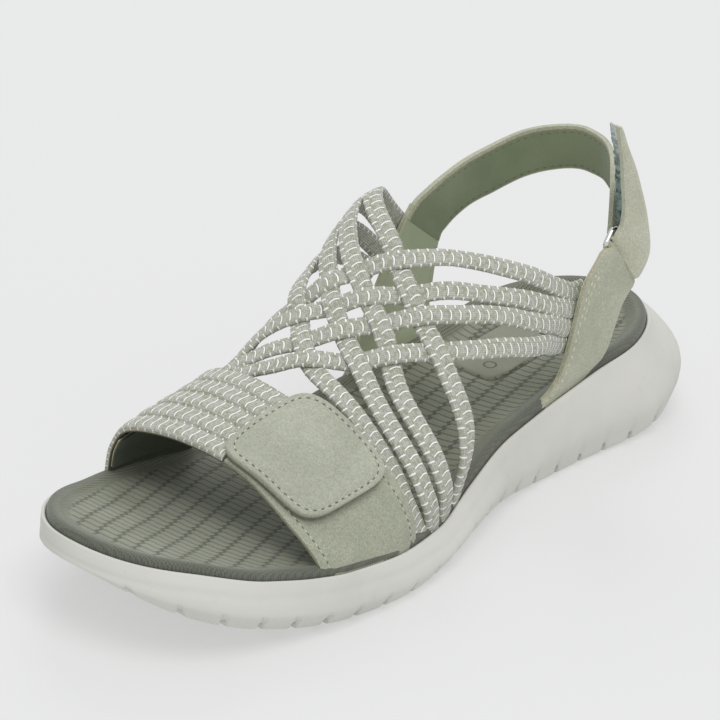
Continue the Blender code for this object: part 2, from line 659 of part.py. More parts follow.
def make_base_strap():
    arches = [-5, -2.5, 0, 5, 10, 15, 20, 25, 30, 35, 40, 44, 47]
    grid = form_grid(BASE_STRAP, arches, np.linspace(0, 1, 7), LEATHER_THICK)
    half = LEATHER_THICK / 2
    return shell("base_strap", grid, lambda a, b: half, lambda a, b: -half, LEATHER)


def make_tab():
    """Rounded tab over the base strap; its free outer edge stands a little proud."""
    rings, turns = (0.45, 0.82, 1.0), 32
    corner = {k: np.array(v) for k, v in TAB.items()}
    low = LEATHER_THICK / 2 + CLEARANCE + 0.1

    def place(u, v):
        """u from the rear (-1) to the front (1), v from the inner (-1) to the outer edge (1)."""
        f, g = (1 + u) / 2, (1 + v) / 2
        inner = corner["inner_rear"] * (1 - f) + corner["inner_front"] * f
        outer = corner["outer_rear"] * (1 - f) + corner["outer_front"] * f
        station, arch = inner * (1 - g) + outer * g
        y = station * LENGTH
        return form(y, arch, LEATHER_THICK), form_normal(y, arch), TAB_FLARE * g ** 3

    verts = []
    for high in (0.0, TAB_THICK):
        point, out, flare = place(0, 0)
        verts.append(point + out * (low + high + flare))
        for ring in rings:
            trim = 0.35 * (1 if ring == 1.0 else 0) * high / TAB_THICK
            for k in range(turns):
                turn = 2 * math.pi * k / turns
                c, s = math.cos(turn), math.sin(turn)
                round_off = (abs(c) ** TAB_SQUARENESS + abs(s) ** TAB_SQUARENESS) ** (-1 / TAB_SQUARENESS)
                point, out, flare = place(c * round_off * ring, s * round_off * ring)
                verts.append(point + out * (low + high - trim + flare))
    layer = 1 + len(rings) * turns
    faces = []
    for side in (0, 1):
        base = side * layer
        for k in range(turns):
            j = (k + 1) % turns
            fan = [(base, base + 1 + k, base + 1 + j)]
            for r in range(len(rings) - 1):
                a, b = base + 1 + r * turns, base + 1 + (r + 1) * turns
                fan.append((a + k, b + k, b + j, a + j))
            faces += [f if side else f[::-1] for f in fan]
    edge = 1 + (len(rings) - 1) * turns
    for k in range(turns):
        j = (k + 1) % turns
        faces.append((edge + k, edge + j, layer + edge + j, layer + edge + k))
    return solid("tab", verts, faces, LEATHER, SHOE)


def make_lining():
    """Inner lining of the front band's inner side, from the footbed up to where the bands end."""
    edges = {"front": ((0, LINING["front"]), (100, LINING["front"])),
             "rear": ((0, LINING["rear"]), (100, LINING["rear"]))}
    arches = np.linspace(LINING["top"], LINING["foot"], 6)
    grid = form_grid(edges, arches, np.linspace(0, 1, 8), ELASTIC_THICK)
    top = -ELASTIC_THICK / 2 - CLEARANCE
    return shell("vamp_lining", grid, lambda a, b: top, lambda a, b: top - LINING_THICK, LINING_CLOTH)


def heel_spot(station, reach, lift):
    """Point at the back of the shoe from shares of LENGTH, the heel's half width and INSTEP_RISE."""
    y = station * LENGTH
    return np.array([reach * HEEL_HALF, y, rim_height(y) + lift * INSTEP_RISE])


def ribbon_grid(lines):
    """Grid with normals from a list of rows of points."""
    rows = np.array(lines)
    ahead = np.gradient(rows, axis=0)
    across = np.gradient(rows, axis=1)
    out = np.cross(across, ahead)
    out /= np.linalg.norm(out, axis=2)[..., None]
    return [[(p, n) for p, n in zip(r, q)] for r, q in zip(rows, out)]


def quarter_line(table, columns, row, drop=0.0, inwards=0.0):
    """One row of points across a side panel; its foot stands just inside the lip."""
    side = 1 if table.rows[0, 5] > 0 else -1
    _, fs, fl, rs, rl, reach = table.row(row)
    made = []
    for f in columns:
        station = fs + (rs - fs) * f
        y = station * LENGTH
        foot = rim_middle(y) + side * (rim_half(y) - LIP - CLEARANCE - QUARTER_THICK / 2)
        spot = heel_spot(station, reach, fl + (rl - fl) * f)
        spot[0] = foot + (spot[0] - foot) * min(1.0, row) - side * inwards
        spot[2] -= drop
        made.append(spot)
    return made


def quarter_lines(table, columns, steps):
    """Rows of points of a side panel, from the bottom of its slot to its top."""
    lines = [quarter_line(table, columns, 0, drop) for drop in (TUCK, TUCK / 2)]
    return lines + [quarter_line(table, columns, row) for row in np.linspace(0, table.rows[-1, 0], steps)]


RING_ALONG = np.array([0.0, math.sin(RING_LEAN), -math.cos(RING_LEAN)])
RING_UP = np.array([-math.sin(RING_TILT), math.cos(RING_TILT) * math.cos(RING_LEAN),
                    math.cos(RING_TILT) * math.sin(RING_LEAN)])
RING_OUT = np.cross(RING_ALONG, RING_UP)
RING_OUT *= math.copysign(1.0, RING_OUT[0])


def ring_point(along, up, out):
    """Point from the ring's centre, in millimetres along its bars, up the strap and outwards."""
    centre = heel_spot(RING_CENTRE["station"], RING_CENTRE["reach"], RING_CENTRE["lift"])
    return centre + RING_ALONG * along + RING_UP * up + RING_OUT * out


def bar_wrap(up, radius, width, turns, columns, trim=0.0):
    """Rows round one bar of the ring; turns are angles from the outer side over the far side.

    Trim is the share of the width that the inner leg is cut back by at its front edge.
    """
    rows = []
    for turn in turns:
        cut = trim * max(0.0, -math.cos(turn))
        rows.append([ring_point(width * (cut + (1 - cut) * f - 0.5), up + radius * math.sin(turn),
                                radius * math.cos(turn)) for f in columns])
    return rows


def make_outer_quarter():
    columns = np.linspace(0, 1, 4)
    lines = quarter_lines(OUTER_QUARTER, columns, 11)
    radius = RING_WIRE / 2 + CLEARANCE + QUARTER_THICK / 2
    low_bar = -(RING_DEPTH - RING_WIRE) / 2
    width = RING_LENGTH - 2 * RING_WIRE - 7 * CLEARANCE
    turns = np.radians((0, 30, 60, 90, 120, 150, 180))
    lines += bar_wrap(low_bar, radius, width, turns, columns, trim=0.25)
    for row in (5.4, 4.9):
        lines.append(quarter_line(OUTER_QUARTER, 0.25 + 0.75 * columns, row, 0.0, QUARTER_THICK + 2 * CLEARANCE))
    half = QUARTER_THICK / 2
    return shell("quarter_outer", ribbon_grid(lines), lambda a, b: half, lambda a, b: -half, LEATHER)


def make_inner_quarter():
    lines = quarter_lines(INNER_QUARTER, np.linspace(0, 1, 5), 9)
    half = QUARTER_THICK / 2
    return shell("quarter_inner", ribbon_grid(lines), lambda a, b: half, lambda a, b: -half, LEATHER)


def strap_lines(table, columns, steps, skip=0):
    lines = []
    for row in np.linspace(0, table.rows[-1, 0], steps)[skip:]:
        _, us, ur, ul, ls, lr, ll = table.row(row)
        up, low = heel_spot(us, ur, ul), heel_spot(ls, lr, ll)
        lines.append([up + (low - up) * f for f in columns])
    return lines


def make_heel_strap():
    """One strap from the inner panel round the heel, through the ring and back up to its free tip."""
    columns = np.linspace(0, 1, 4)
    lines = strap_lines(HEEL_STRAP, columns, 17)
    radius = RING_WIRE / 2 + CLEARANCE + HEEL_STRAP_THICK / 2
    high_bar = (RING_DEPTH - RING_WIRE) / 2
    width = RING_LENGTH - 2 * RING_WIRE - 7 * CLEARANCE
    turns = np.radians((180, 225, 270, 315, 360))
    lines += bar_wrap(high_bar, radius, width, turns, columns)
    lines += strap_lines(FREE_END, columns, 7)
    half = HEEL_STRAP_THICK / 2
    return shell("heel_strap", ribbon_grid(lines), lambda a, b: half, lambda a, b: -half, LEATHER)


def make_hook_patch():
    """Hook panel on the inner face of the strap's free end."""
    columns = np.linspace(0.02, 0.90, 3)
    lines = strap_lines(FREE_END, columns, 7)[1:-1]
    low = HEEL_STRAP_THICK / 2 + CLEARANCE
    return shell("hook_patch", ribbon_grid(lines), lambda a, b: -low, lambda a, b: -low - HOOK_THICK, HOOKS)


def make_ring():
    """Metal ring: two straight bars joined by round ends, as a closed bevelled curve."""
    long, deep, corner = RING_LENGTH - RING_WIRE, RING_DEPTH - RING_WIRE, RING_CORNER
    corner = min(corner, deep / 2)
    curve = bpy.data.curves.new("ring", "CURVE")
    curve.dimensions = "3D"
    curve.bevel_depth = RING_WIRE / 2 * MM
    curve.bevel_resolution = 2
    points = []
    for quarter in range(4):
        side_a = 1 if quarter in (0, 3) else -1
        side_b = 1 if quarter in (0, 1) else -1
        for step in range(4):
            turn = math.pi / 2 * (quarter + step / 3)
            a = side_a * (long / 2 - corner) + corner * math.cos(turn)
            b = side_b * (deep / 2 - corner) + corner * math.sin(turn)
            points.append(ring_point(a, b, 0.0))
    line = curve.splines.new("POLY")
    line.points.add(len(points) - 1)
    for knot, spot in zip(line.points, points):
        knot.co = (*(spot * MM), 1.0)
    line.use_cyclic_u = True
    ring = bpy.data.objects.new("ring", curve)
    SHOE.objects.link(ring)
    ring.parent = root
    curve.materials.append(METAL)
    return ring


SHOE = bpy.data.collections.new("orthopedic_sandal")
CUTTERS = bpy.data.collections.new("cutters")
for group in (SHOE, CUTTERS):
    bpy.context.scene.collection.children.link(group)

FOAM = paint("foam", (0.61, 0.60, 0.55), 0.62)
FOOTBED = paint("footbed", (0.16, 0.17, 0.12), 0.85)
ELASTIC = paint("elastic", (0.47, 0.50, 0.42), 0.8)
LEATHER = paint("leather", (0.43, 0.45, 0.34), 0.72)
LINING_CLOTH = paint("lining", (0.19, 0.22, 0.13), 0.85)
HOOKS = paint("hooks", (0.03, 0.09, 0.08), 0.9)
METAL = paint("metal", (0.75, 0.75, 0.73), 0.18, 1.0)

# The origin stands under the middle of the sole's box
root = bpy.data.objects.new("sandal_root", None)
SHOE.objects.link(root)

sole = make_sole()
footbed = make_footbed()
SLOTS = (("slot_outer", 1, -0.3225, -0.030, ELASTIC_THICK, 3.5),
         ("slot_band", -1, -0.3315, -0.1785, ELASTIC_THICK, 1.2),
         ("slot_outer_quarter", 1, 0.1465, 0.278, QUARTER_THICK, 0.4),
         ("slot_inner_quarter", -1, 0.0495, 0.2125, QUARTER_THICK, 0.4))
for slot_name, slot_side, slot_front, slot_rear, slot_thick, slot_flare in SLOTS:
    cutter = slot(slot_name, slot_side, slot_front, slot_rear, slot_thick, slot_flare)
    cut = footbed.modifiers.new(slot_name, "BOOLEAN")
    cut.operation = "DIFFERENCE"
    cut.object = cutter
make_weave()
make_toe_band()
make_base_strap()
make_tab()
make_lining()
make_outer_quarter()
make_inner_quarter()
make_heel_strap()
make_hook_patch()
make_ring()

box = np.array([sole.matrix_world @ v.co for v in sole.data.vertices])
middle_of_box = (box.min(axis=0) + box.max(axis=0)) / 2
root.location = (-middle_of_box[0], -middle_of_box[1], 0.0)
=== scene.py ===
"""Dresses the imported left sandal: foam sole, embossed footbed, woven elastic, leather straps and ring.

Lengths are in millimetres in the shoe's own coordinates; SHIFT and MM bring them into the frame.
"""
import math

import bpy
import numpy as np
from mathutils import Matrix


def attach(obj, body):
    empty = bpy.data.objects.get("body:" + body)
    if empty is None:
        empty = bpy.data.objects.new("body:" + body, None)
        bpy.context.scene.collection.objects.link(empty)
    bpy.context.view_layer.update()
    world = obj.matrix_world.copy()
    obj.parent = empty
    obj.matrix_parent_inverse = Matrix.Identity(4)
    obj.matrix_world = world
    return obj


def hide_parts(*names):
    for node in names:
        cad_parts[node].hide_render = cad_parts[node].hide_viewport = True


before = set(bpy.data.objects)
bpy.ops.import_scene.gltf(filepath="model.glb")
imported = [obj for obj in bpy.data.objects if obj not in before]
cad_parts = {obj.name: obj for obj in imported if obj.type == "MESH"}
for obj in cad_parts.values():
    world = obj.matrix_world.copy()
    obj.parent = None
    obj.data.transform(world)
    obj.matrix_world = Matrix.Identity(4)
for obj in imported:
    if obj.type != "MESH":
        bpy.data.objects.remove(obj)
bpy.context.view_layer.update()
rng = np.random.default_rng(7)

MM = 0.001
SHIFT = np.array([-1.380, -1.074, 0.0])

# Driving sizes, as in the solids
LENGTH = 252.0
BALL_WIDTH = 90.0
RIM_HEIGHT = 31.6
TOE_SPRING = 17.0
HEEL_LIFT = 8.5
ARCH_LIFT = 4.3
LIP = 1.2
BASIN_DEPTH = 8.5
TREAD_BEVEL = 2.2
GROOVE_PITCH = 11.5
GROOVE_WIDTH = 3.8
GROOVE_HEIGHT = 4.0
TOE_LAND = 2.6
GROOVE_LAST = 0.4147
BULGE = 8.5
FOOTBED_ROLL = 2.4
FOOTBED_CUP = 4.0
INSTEP_RISE = 64.0
CLEARANCE = 0.3
TUCK = 6.0
ELASTIC_WIDTH = {"a": 6.3, "b": 6.1}
ELASTIC_THICK = 2.2
WEAVE_LIFT = 1.15
LEATHER_THICK = 1.8
LINING_THICK = 1.2
TAB_THICK = 2.6
QUARTER_THICK = 2.0
HEEL_STRAP_THICK = 2.2
HOOK_THICK = 2.4
RING_WIRE = 2.0
RING_LENGTH = 24.0
RING_DEPTH = 9.5
RING_CORNER = 2.0


class Table:
    """Rows under named columns, read smoothly (monotone cubic) between the first column's stations."""

    def __init__(self, columns, *rows):
        self.names = columns.split()
        self.rows = np.array(rows, float)
        gaps = np.diff(self.rows[:, 0])[:, None]
        rises = np.diff(self.rows, axis=0) / gaps
        both = rises[:-1] + rises[1:]
        safe = np.where(np.abs(both) > 1e-12, both, 1.0)
        mean = 2 * rises[:-1] * rises[1:] / safe
        inner = np.where(rises[:-1] * rises[1:] > 0, mean, 0.0)
        self.slopes = np.vstack([rises[:1], inner, rises[-1:]])

    def row(self, at):
        stations = self.rows[:, 0]
        at = min(max(at, stations[0]), stations[-1])
        i = min(int(np.searchsorted(stations, at, side="right")) - 1, len(stations) - 2)
        span = stations[i + 1] - stations[i]
        f = (at - stations[i]) / span
        here = self.rows[i] * (1 + 2 * f) * (1 - f) ** 2 + self.slopes[i] * span * f * (1 - f) ** 2
        return here + self.rows[i + 1] * f * f * (3 - 2 * f) + self.slopes[i + 1] * span * f * f * (f - 1)

    def get(self, name, at):
        return self.row(at)[self.names.index(name)]


OUTLINE = Table("station half middle",
                (-0.521, 0.729, 0.005),
                (-0.455, 0.781, -0.046),
                (-0.385, 0.876, -0.038),
                (-0.319, 0.975, -0.022),
                (-0.270, 1.012, 0.004),
                (-0.190, 0.998, 0.044),
                (-0.095, 0.915, 0.058),
                (0.000, 0.800, 0.041),
                (0.099, 0.708, 0.019),
                (0.198, 0.672, 0.010),
                (0.298, 0.668, -0.003),
                (0.377, 0.686, -0.003),
                (0.485, 0.680, 0.000))
TOE_END, HEEL_END = OUTLINE.rows[0, 0], OUTLINE.rows[-1, 0]
TOE_ROUND, HEEL_ROUND = 0.142, 0.187
TOE_POWER, HEEL_POWER = 2.29, 2.05
TOE_SWING, TOE_SWING_POWER = -0.153, 3.7

SIDE = Table("station rim bulge tread skew",
             (-0.521, 1.000, 0.16, -0.15, 0.20),
             (-0.465, 0.920, 0.22, 0.02, 0.24),
             (-0.377, 0.712, 0.18, -0.12, 0.18),
             (-0.300, 0.590, 0.20, -0.14, 0.08),
             (-0.238, 0.532, 0.26, -0.02, 0.00),
             (-0.170, 0.478, 0.36, 0.16, 0.00),
             (-0.099, 0.462, 0.47, 0.30, 0.00),
             (-0.020, 0.600, 0.49, 0.33, 0.00),
             (0.060, 0.735, 0.38, 0.20, 0.00),
             (0.140, 0.800, 0.31, 0.12, 0.00),
             (0.220, 0.875, 0.42, 0.24, 0.00),
             (0.300, 0.945, 0.68, 0.52, 0.00),
             (0.380, 0.978, 1.20, 0.95, 0.00),
             (0.485, 1.000, 1.48, 1.26, 0.00))
FLAT_FORE, FLAT_HEEL = -0.222, 0.262
ARCH_AT, ARCH_REACH = 0.008, 0.182

FORM = Table("station r1 h1 r2 h2 r3 h3 r4 h4 r5 h5 r6 h6",
             (-0.357, 0.898, 0.058, 0.697, 0.144, 0.268, 0.284, -0.255, 0.312, -0.745, 0.255, -0.905, 0.150),
             (-0.238, 0.886, 0.112, 0.711, 0.245, 0.242, 0.440, -0.281, 0.498, -0.730, 0.432, -0.888, 0.250),
             (-0.139, 0.937, 0.161, 0.764, 0.341, 0.266, 0.536, -0.335, 0.628, -0.792, 0.556, -0.942, 0.300),
             (-0.020, 1.024, 0.250, 0.849, 0.453, 0.268, 0.688, -0.435, 0.859, -0.881, 0.773, -1.003, 0.406),
             (0.079, 1.077, 0.281, 0.938, 0.516, 0.277, 0.812, -0.585, 1.000, -0.969, 0.945, -1.046, 0.484),
             (0.179, 1.033, 0.289, 1.000, 0.523, 0.508, 0.789, -0.475, 0.961, -1.000, 0.805, -1.082, 0.398),
             (0.258, 1.028, 0.302, 1.012, 0.552, 0.595, 0.739, -0.338, 0.833, -0.972, 0.677, -1.072, 0.364))
KNOTS = 7

FRONT_BANDS = {
    "a1": ((-0.128, 0, 0), (-0.139, 9, -0.95), (-0.149, 20, -1.10), (-0.148, 30, -1.05),
           (-0.142, 42, -0.1), (-0.131, 52, 0), (-0.095, 60, 0),
           (-0.048, 68, 0), (0.000, 74.5, 0), (0.056, 80, 0.2), (0.119, 85, 0.45)),
    "a2": ((-0.103, 0, 0), (-0.123, 19, 0), (-0.119, 35, 0), (-0.095, 46, 0), (-0.060, 56, 0),
           (-0.020, 64, 0), (0.024, 71, 0), (0.071, 77, 0.2), (0.135, 82.5, 0.45)),
    "a3": ((-0.076, 0, 0), (-0.091, 20, 0), (-0.083, 37, 0), (-0.048, 46, 0), (-0.016, 56, 0),
           (0.016, 63, 0), (0.052, 69, 0), (0.095, 74, 0.2), (0.151, 80, 0.45)),
    "a4": ((-0.049, 0, 0), (-0.036, 15, -0.5), (-0.024, 29, -0.5), (-0.012, 38, -0.1), (0.008, 47, 0),
           (0.034, 53, 0), (0.057, 60, 0), (0.083, 67, 0), (0.120, 73, 0.2), (0.168, 77.5, 0.45)),
}
REAR_BANDS = {
    "b1": ((0.250, 30.5, -2.3), (0.222, 30.5, -2.1), (0.193, 33.5, -0.9), (0.160, 37.5, 0), (0.123, 41, 0),
           (0.075, 45, 0), (0.034, 49, 0), (-0.008, 55, 0), (-0.048, 61, 0), (-0.083, 69, -0.2),
           (-0.119, 75, -0.9), (-0.145, 78, -1.2)),
    "b2": ((0.240, 26.5, -2.2), (0.212, 26.5, -2.0), (0.178, 29.8, -0.8), (0.137, 34, 0), (0.073, 38.5, 0),
           (0.026, 44, 0), (-0.012, 49, 0), (-0.052, 55, 0), (-0.085, 62, 0), (-0.110, 69, -0.2),
           (-0.145, 73, -1.0), (-0.170, 77, -1.2)),
    "b3": ((0.230, 22, -2.1), (0.202, 22.5, -1.9), (0.160, 27, -0.7), (0.108, 32, 0), (0.047, 37, 0),
           (-0.002, 43, 0), (-0.050, 49, 0), (-0.087, 54, 0), (-0.122, 60, 0), (-0.146, 65, -0.7),
           (-0.170, 70, -1.2), (-0.192, 76, -1.2)),
    "b4": ((0.220, 16, -2.1), (0.190, 17.5, -1.9), (0.150, 21.5, -0.7), (0.091, 27, 0), (0.035, 32, 0),
           (-0.015, 38, 0), (-0.055, 43, 0), (-0.100, 49, 0), (-0.130, 54, 0), (-0.153, 59, -0.7),
           (-0.175, 65, -1.2), (-0.212, 75, -1.2)),
}

TOE_BAND = {"front": ((47.5, -0.315), (75, -0.322), (100, -0.325)),
            "rear": ((47.5, -0.183), (52, -0.187), (62, -0.1845), (75, -0.181), (100, -0.185))}
TOE_STRIPS = 5
# Where the rear bands sink towards the quarter: station in mm, and fall per mm
BAND_FALL = {"b1": (53.0, 0.36), "b2": (50.5, 0.53), "b3": (44.0, 0.50), "b4": (37.0, 0.32)}
BASE_STRAP = {"front": ((0, -0.303), (14, -0.308), (30, -0.312), (47, -0.315)),
              "rear": ((0, -0.146), (30, -0.160), (47, -0.167))}
TAB = {"inner_front": (-0.318, 49.2), "inner_rear": (-0.166, 49.7),
       "outer_front": (-0.300, 27.0), "outer_rear": (-0.163, 28.6)}
TAB_SQUARENESS = 5.0
TAB_FLARE = 1.2
LINING = {"front": -0.3235, "rear": -0.192, "high": 80.0, "low": 94.0}

OUTER_QUARTER = Table("row front_station front_lift rear_station rear_lift reach",
                      (0, 0.149, 0.000, 0.270, 0.000, 0.914),
                      (1, 0.182, 0.069, 0.282, 0.058, 0.965),
                      (2, 0.200, 0.172, 0.292, 0.120, 0.985),
                      (3, 0.214, 0.360, 0.302, 0.223, 0.990),
                      (4, 0.230, 0.564, 0.312, 0.310, 0.988),
                      (5, 0.252, 0.648, 0.326, 0.370, 0.986),
                      (6, 0.264, 0.700, 0.336, 0.400, 0.988))
INNER_QUARTER = Table("row front_station front_lift rear_station rear_lift reach",
                      (0, 0.052, 0.000, 0.210, 0.000, -0.914),
                      (1, 0.075, 0.158, 0.216, 0.133, -0.980),
                      (2, 0.099, 0.334, 0.222, 0.255, -1.000),
                      (3, 0.131, 0.540, 0.227, 0.378, -1.010),
                      (4, 0.157, 0.700, 0.230, 0.470, -1.010),
                      (5, 0.175, 0.780, 0.233, 0.505, -1.010))
HEEL_STRAP = Table("row up_station up_reach up_lift low_station low_reach low_lift",
                   (0, 0.1825, -1.010, 0.789, 0.236, -1.010, 0.520),
                   (1, 0.218, -1.000, 0.830, 0.254, -0.993, 0.565),
                   (2, 0.262, -0.977, 0.866, 0.284, -0.960, 0.606),
                   (3, 0.306, -0.900, 0.898, 0.317, -0.883, 0.634),
                   (4, 0.347, -0.733, 0.952, 0.355, -0.717, 0.694),
                   (5, 0.373, -0.467, 0.994, 0.381, -0.450, 0.746),
                   (6, 0.385, -0.133, 1.022, 0.391, -0.133, 0.783),
                   (7, 0.375, 0.200, 1.024, 0.384, 0.200, 0.793),
                   (8, 0.351, 0.467, 1.018, 0.364, 0.433, 0.800),
                   (9, 0.3225, 0.667, 0.988, 0.357, 0.633, 0.745),
                   (10, 0.3045, 0.790, 0.913, 0.359, 0.745, 0.650))
# Free end: front and rear point of each row, from its turned lower edge to the tip
FREE_END = (((26.6, 76.2, 75.2), (29.0, 85.4, 61.0)),
            ((28.0, 73.0, 75.6), (30.4, 82.2, 60.0)),
            ((29.5, 72.4, 76.4), (31.4, 84.6, 59.2)),
            ((30.6, 74.0, 80.6), (31.8, 88.6, 67.0)),
            ((31.2, 73.2, 87.6), (31.9, 85.4, 79.8)),
            ((31.6, 70.9, 95.6), (32.1, 80.1, 91.6)),
            ((32.0, 68.9, 103.1), (32.4, 75.0, 101.1)),
            ((32.3, 66.3, 110.4), (32.5, 69.8, 109.4)),
            ((32.4, 64.5, 115.6), (32.6, 66.6, 115.2)),
            ((32.4, 64.0, 117.4), (32.5, 65.0, 117.4)))
RING_CENTRE = {"station": 0.3184, "reach": 0.900, "lift": 0.583}
RING_LEAN = math.radians(44.0)
RING_TILT = math.radians(6.0)


def hull(power, share):
    share = min(max(share, 0.0), 1.0)
    return (1 - (1 - share) ** power) ** (1 / power)


def rim_half(y):
    station = y / LENGTH
    toe = hull(TOE_POWER, (station - TOE_END) / TOE_ROUND)
    heel = hull(HEEL_POWER, (HEEL_END - station) / HEEL_ROUND)
    return OUTLINE.get("half", station) * BALL_WIDTH / 2 * toe * heel


def rim_middle(y):
    station = y / LENGTH
    swing = max(0.0, 1 - (station - TOE_END) / TOE_ROUND) ** TOE_SWING_POWER
    return (OUTLINE.get("middle", station) + TOE_SWING * swing) * BALL_WIDTH / 2


def rim_height(y):
    return SIDE.get("rim", y / LENGTH) * RIM_HEIGHT


def tread_height(y):
    station = y / LENGTH
    fore = max(0.0, (FLAT_FORE - station) / (FLAT_FORE + 0.484))
    back = max(0.0, (station - FLAT_HEEL) / (0.500 - FLAT_HEEL))
    arch = max(0.0, 1 - abs(station - ARCH_AT) / ARCH_REACH)
    return TOE_SPRING * fore ** 2 + HEEL_LIFT * back ** 2 + ARCH_LIFT * math.sin(arch * math.pi / 2) ** 2


HEEL_HALF = rim_half(0.20 * LENGTH)


def rungs(levels):
    """Perimeter points (x, y) and outward normals of the rim: toe tip, outer side, heel tip, inner side."""
    outer = [(rim_middle(y) + rim_half(y), y) for y in levels[1:-1]]
    inner = [(rim_middle(y) - rim_half(y), y) for y in levels[1:-1]]
    toe = (rim_middle(levels[0]), levels[0])
    heel = (rim_middle(levels[-1]), levels[-1])
    points = np.array([toe] + outer + [heel] + inner[::-1])
    along = np.roll(points, -1, axis=0) - np.roll(points, 1, axis=0)
    normals = np.stack([along[:, 1], -along[:, 0]], axis=1)
    return points, normals / np.linalg.norm(normals, axis=1)[:, None]


def form(y, arch, thick=ELASTIC_THICK):
    """Point of the foot form; arch runs in percent from the outer rim (0) to the inner rim (100)."""
    row = FORM.row(y / LENGTH)[1:]
    half, middle, top = rim_half(y), rim_middle(y), rim_height(y)
    inset = LIP + CLEARANCE + thick / 2
    knots = [(middle + half - inset, top)]
    knots += [(middle + row[i] * half, top + row[i + 1] * INSTEP_RISE) for i in range(0, 12, 2)]
    knots.append((middle - half + inset, top))
    if arch <= 0 or arch >= 100:
        x, z = knots[0] if arch <= 0 else knots[-1]
        deep = -arch if arch <= 0 else arch - 100
        return np.array([x, y, z - deep * TUCK / 5])
    knots = np.array(knots)
    place = arch / 100 * KNOTS
    i = min(int(place), KNOTS - 1)
    f = place - i
    p1, p2 = knots[i], knots[i + 1]
    p0 = knots[i - 1] if i > 0 else p1
    p3 = knots[i + 2] if i + 2 <= KNOTS else p2
    x, z = 0.5 * (2 * p1 + (p2 - p0) * f + (2 * p0 - 5 * p1 + 4 * p2 - p3) * f * f
                  + (3 * p1 - p0 - 3 * p2 + p3) * f ** 3)
    return np.array([x, y, z])


def form_normal(y, arch):
    if arch <= 0.5 or arch >= 99.5:
        side = 1.0 if arch <= 0.5 else -1.0
        slope = (rim_half(y + 1) - rim_half(y - 1) + side * (rim_middle(y + 1) - rim_middle(y - 1))) / 2
        out = np.array([side, -slope, 0.0])
        return out / np.linalg.norm(out)
    along = form(y + 2, arch) - form(y - 2, arch)
    across = form(y, max(arch - 2, 0.1)) - form(y, min(arch + 2, 99.9))
    out = np.cross(across, along)
    return out / np.linalg.norm(out)


def spline(points, samples):
    """Catmull-Rom curve through rows of numbers, sampled evenly in its parameter."""
    rows = np.array(points, float)
    rows = np.vstack([2 * rows[0] - rows[1], rows, 2 * rows[-1] - rows[-2]])
    made = []
    for t in np.linspace(0, len(points) - 1, samples):
        i = min(int(t), len(points) - 2)
        f = t - i
        p0, p1, p2, p3 = rows[i:i + 4]
        made.append(0.5 * (2 * p1 + (p2 - p0) * f + (2 * p0 - 5 * p1 + 4 * p2 - p3) * f * f
                           + (3 * p1 - p0 - 3 * p2 + p3) * f ** 3))
    return np.array(made)


def run_along(points):
    """Length along a line of points, from 0 at its first."""
    return np.concatenate([[0], np.cumsum(np.linalg.norm(np.diff(points, axis=0), axis=1))])


def resample(at, run, rows):
    """Rows of numbers read off at other lengths along their line."""
    return np.stack([np.interp(at, run, rows[:, k]) for k in range(rows.shape[1])], axis=1)


def column_of(rows, place):
    """Line down a grid at a column that may lie between two of its own."""
    k, f = int(place), place - int(place)
    return rows[:, k] * (1 - f) + rows[:, k + 1] * f


def ring_faces(upper, lower, count):
    """Quads between two closed rings of points, by the rings' first indices."""
    return [(upper + i, upper + (i + 1) % count, lower + (i + 1) % count, lower + i) for i in range(count)]


def cap_faces(base, count, flip=False):
    """Quads across a closed ring, from the toe tip to the heel tip."""
    faces = []
    for i in range(count // 2):
        corners = (i, i + 1, (count - i - 1) % count, (count - i) % count)
        quad = list(dict.fromkeys(base + corner for corner in corners))
        faces.append(tuple(quad[::-1] if flip else quad))
    return faces


def smooth(share):
    return share * share * (3 - 2 * share)


def place_object(name, data):
    made = bpy.data.objects.new(name, data)
    bpy.context.scene.collection.objects.link(made)
    return made


def aim(thing, right, up, back, place):
    matrix = np.eye(4)
    matrix[:3] = np.column_stack([right, up, back, place])
    thing.matrix_world = Matrix(matrix.tolist())


# Materials


class Value:
    """A shader value that takes arithmetic, with a math node for each sign."""

    def __init__(self, graph, socket):
        self.graph = graph
        self.socket = socket

    def __add__(self, other):
        return self.graph.math("ADD", self, other)

    def __sub__(self, other):
        return self.graph.math("SUBTRACT", self, other)

    def __rsub__(self, other):
        return self.graph.math("SUBTRACT", other, self)

    def __mul__(self, other):
        return self.graph.math("MULTIPLY", self, other)

    def __truediv__(self, other):
        return self.graph.math("DIVIDE", self, other)

    def __abs__(self):
        return self.graph.math("ABSOLUTE", self)


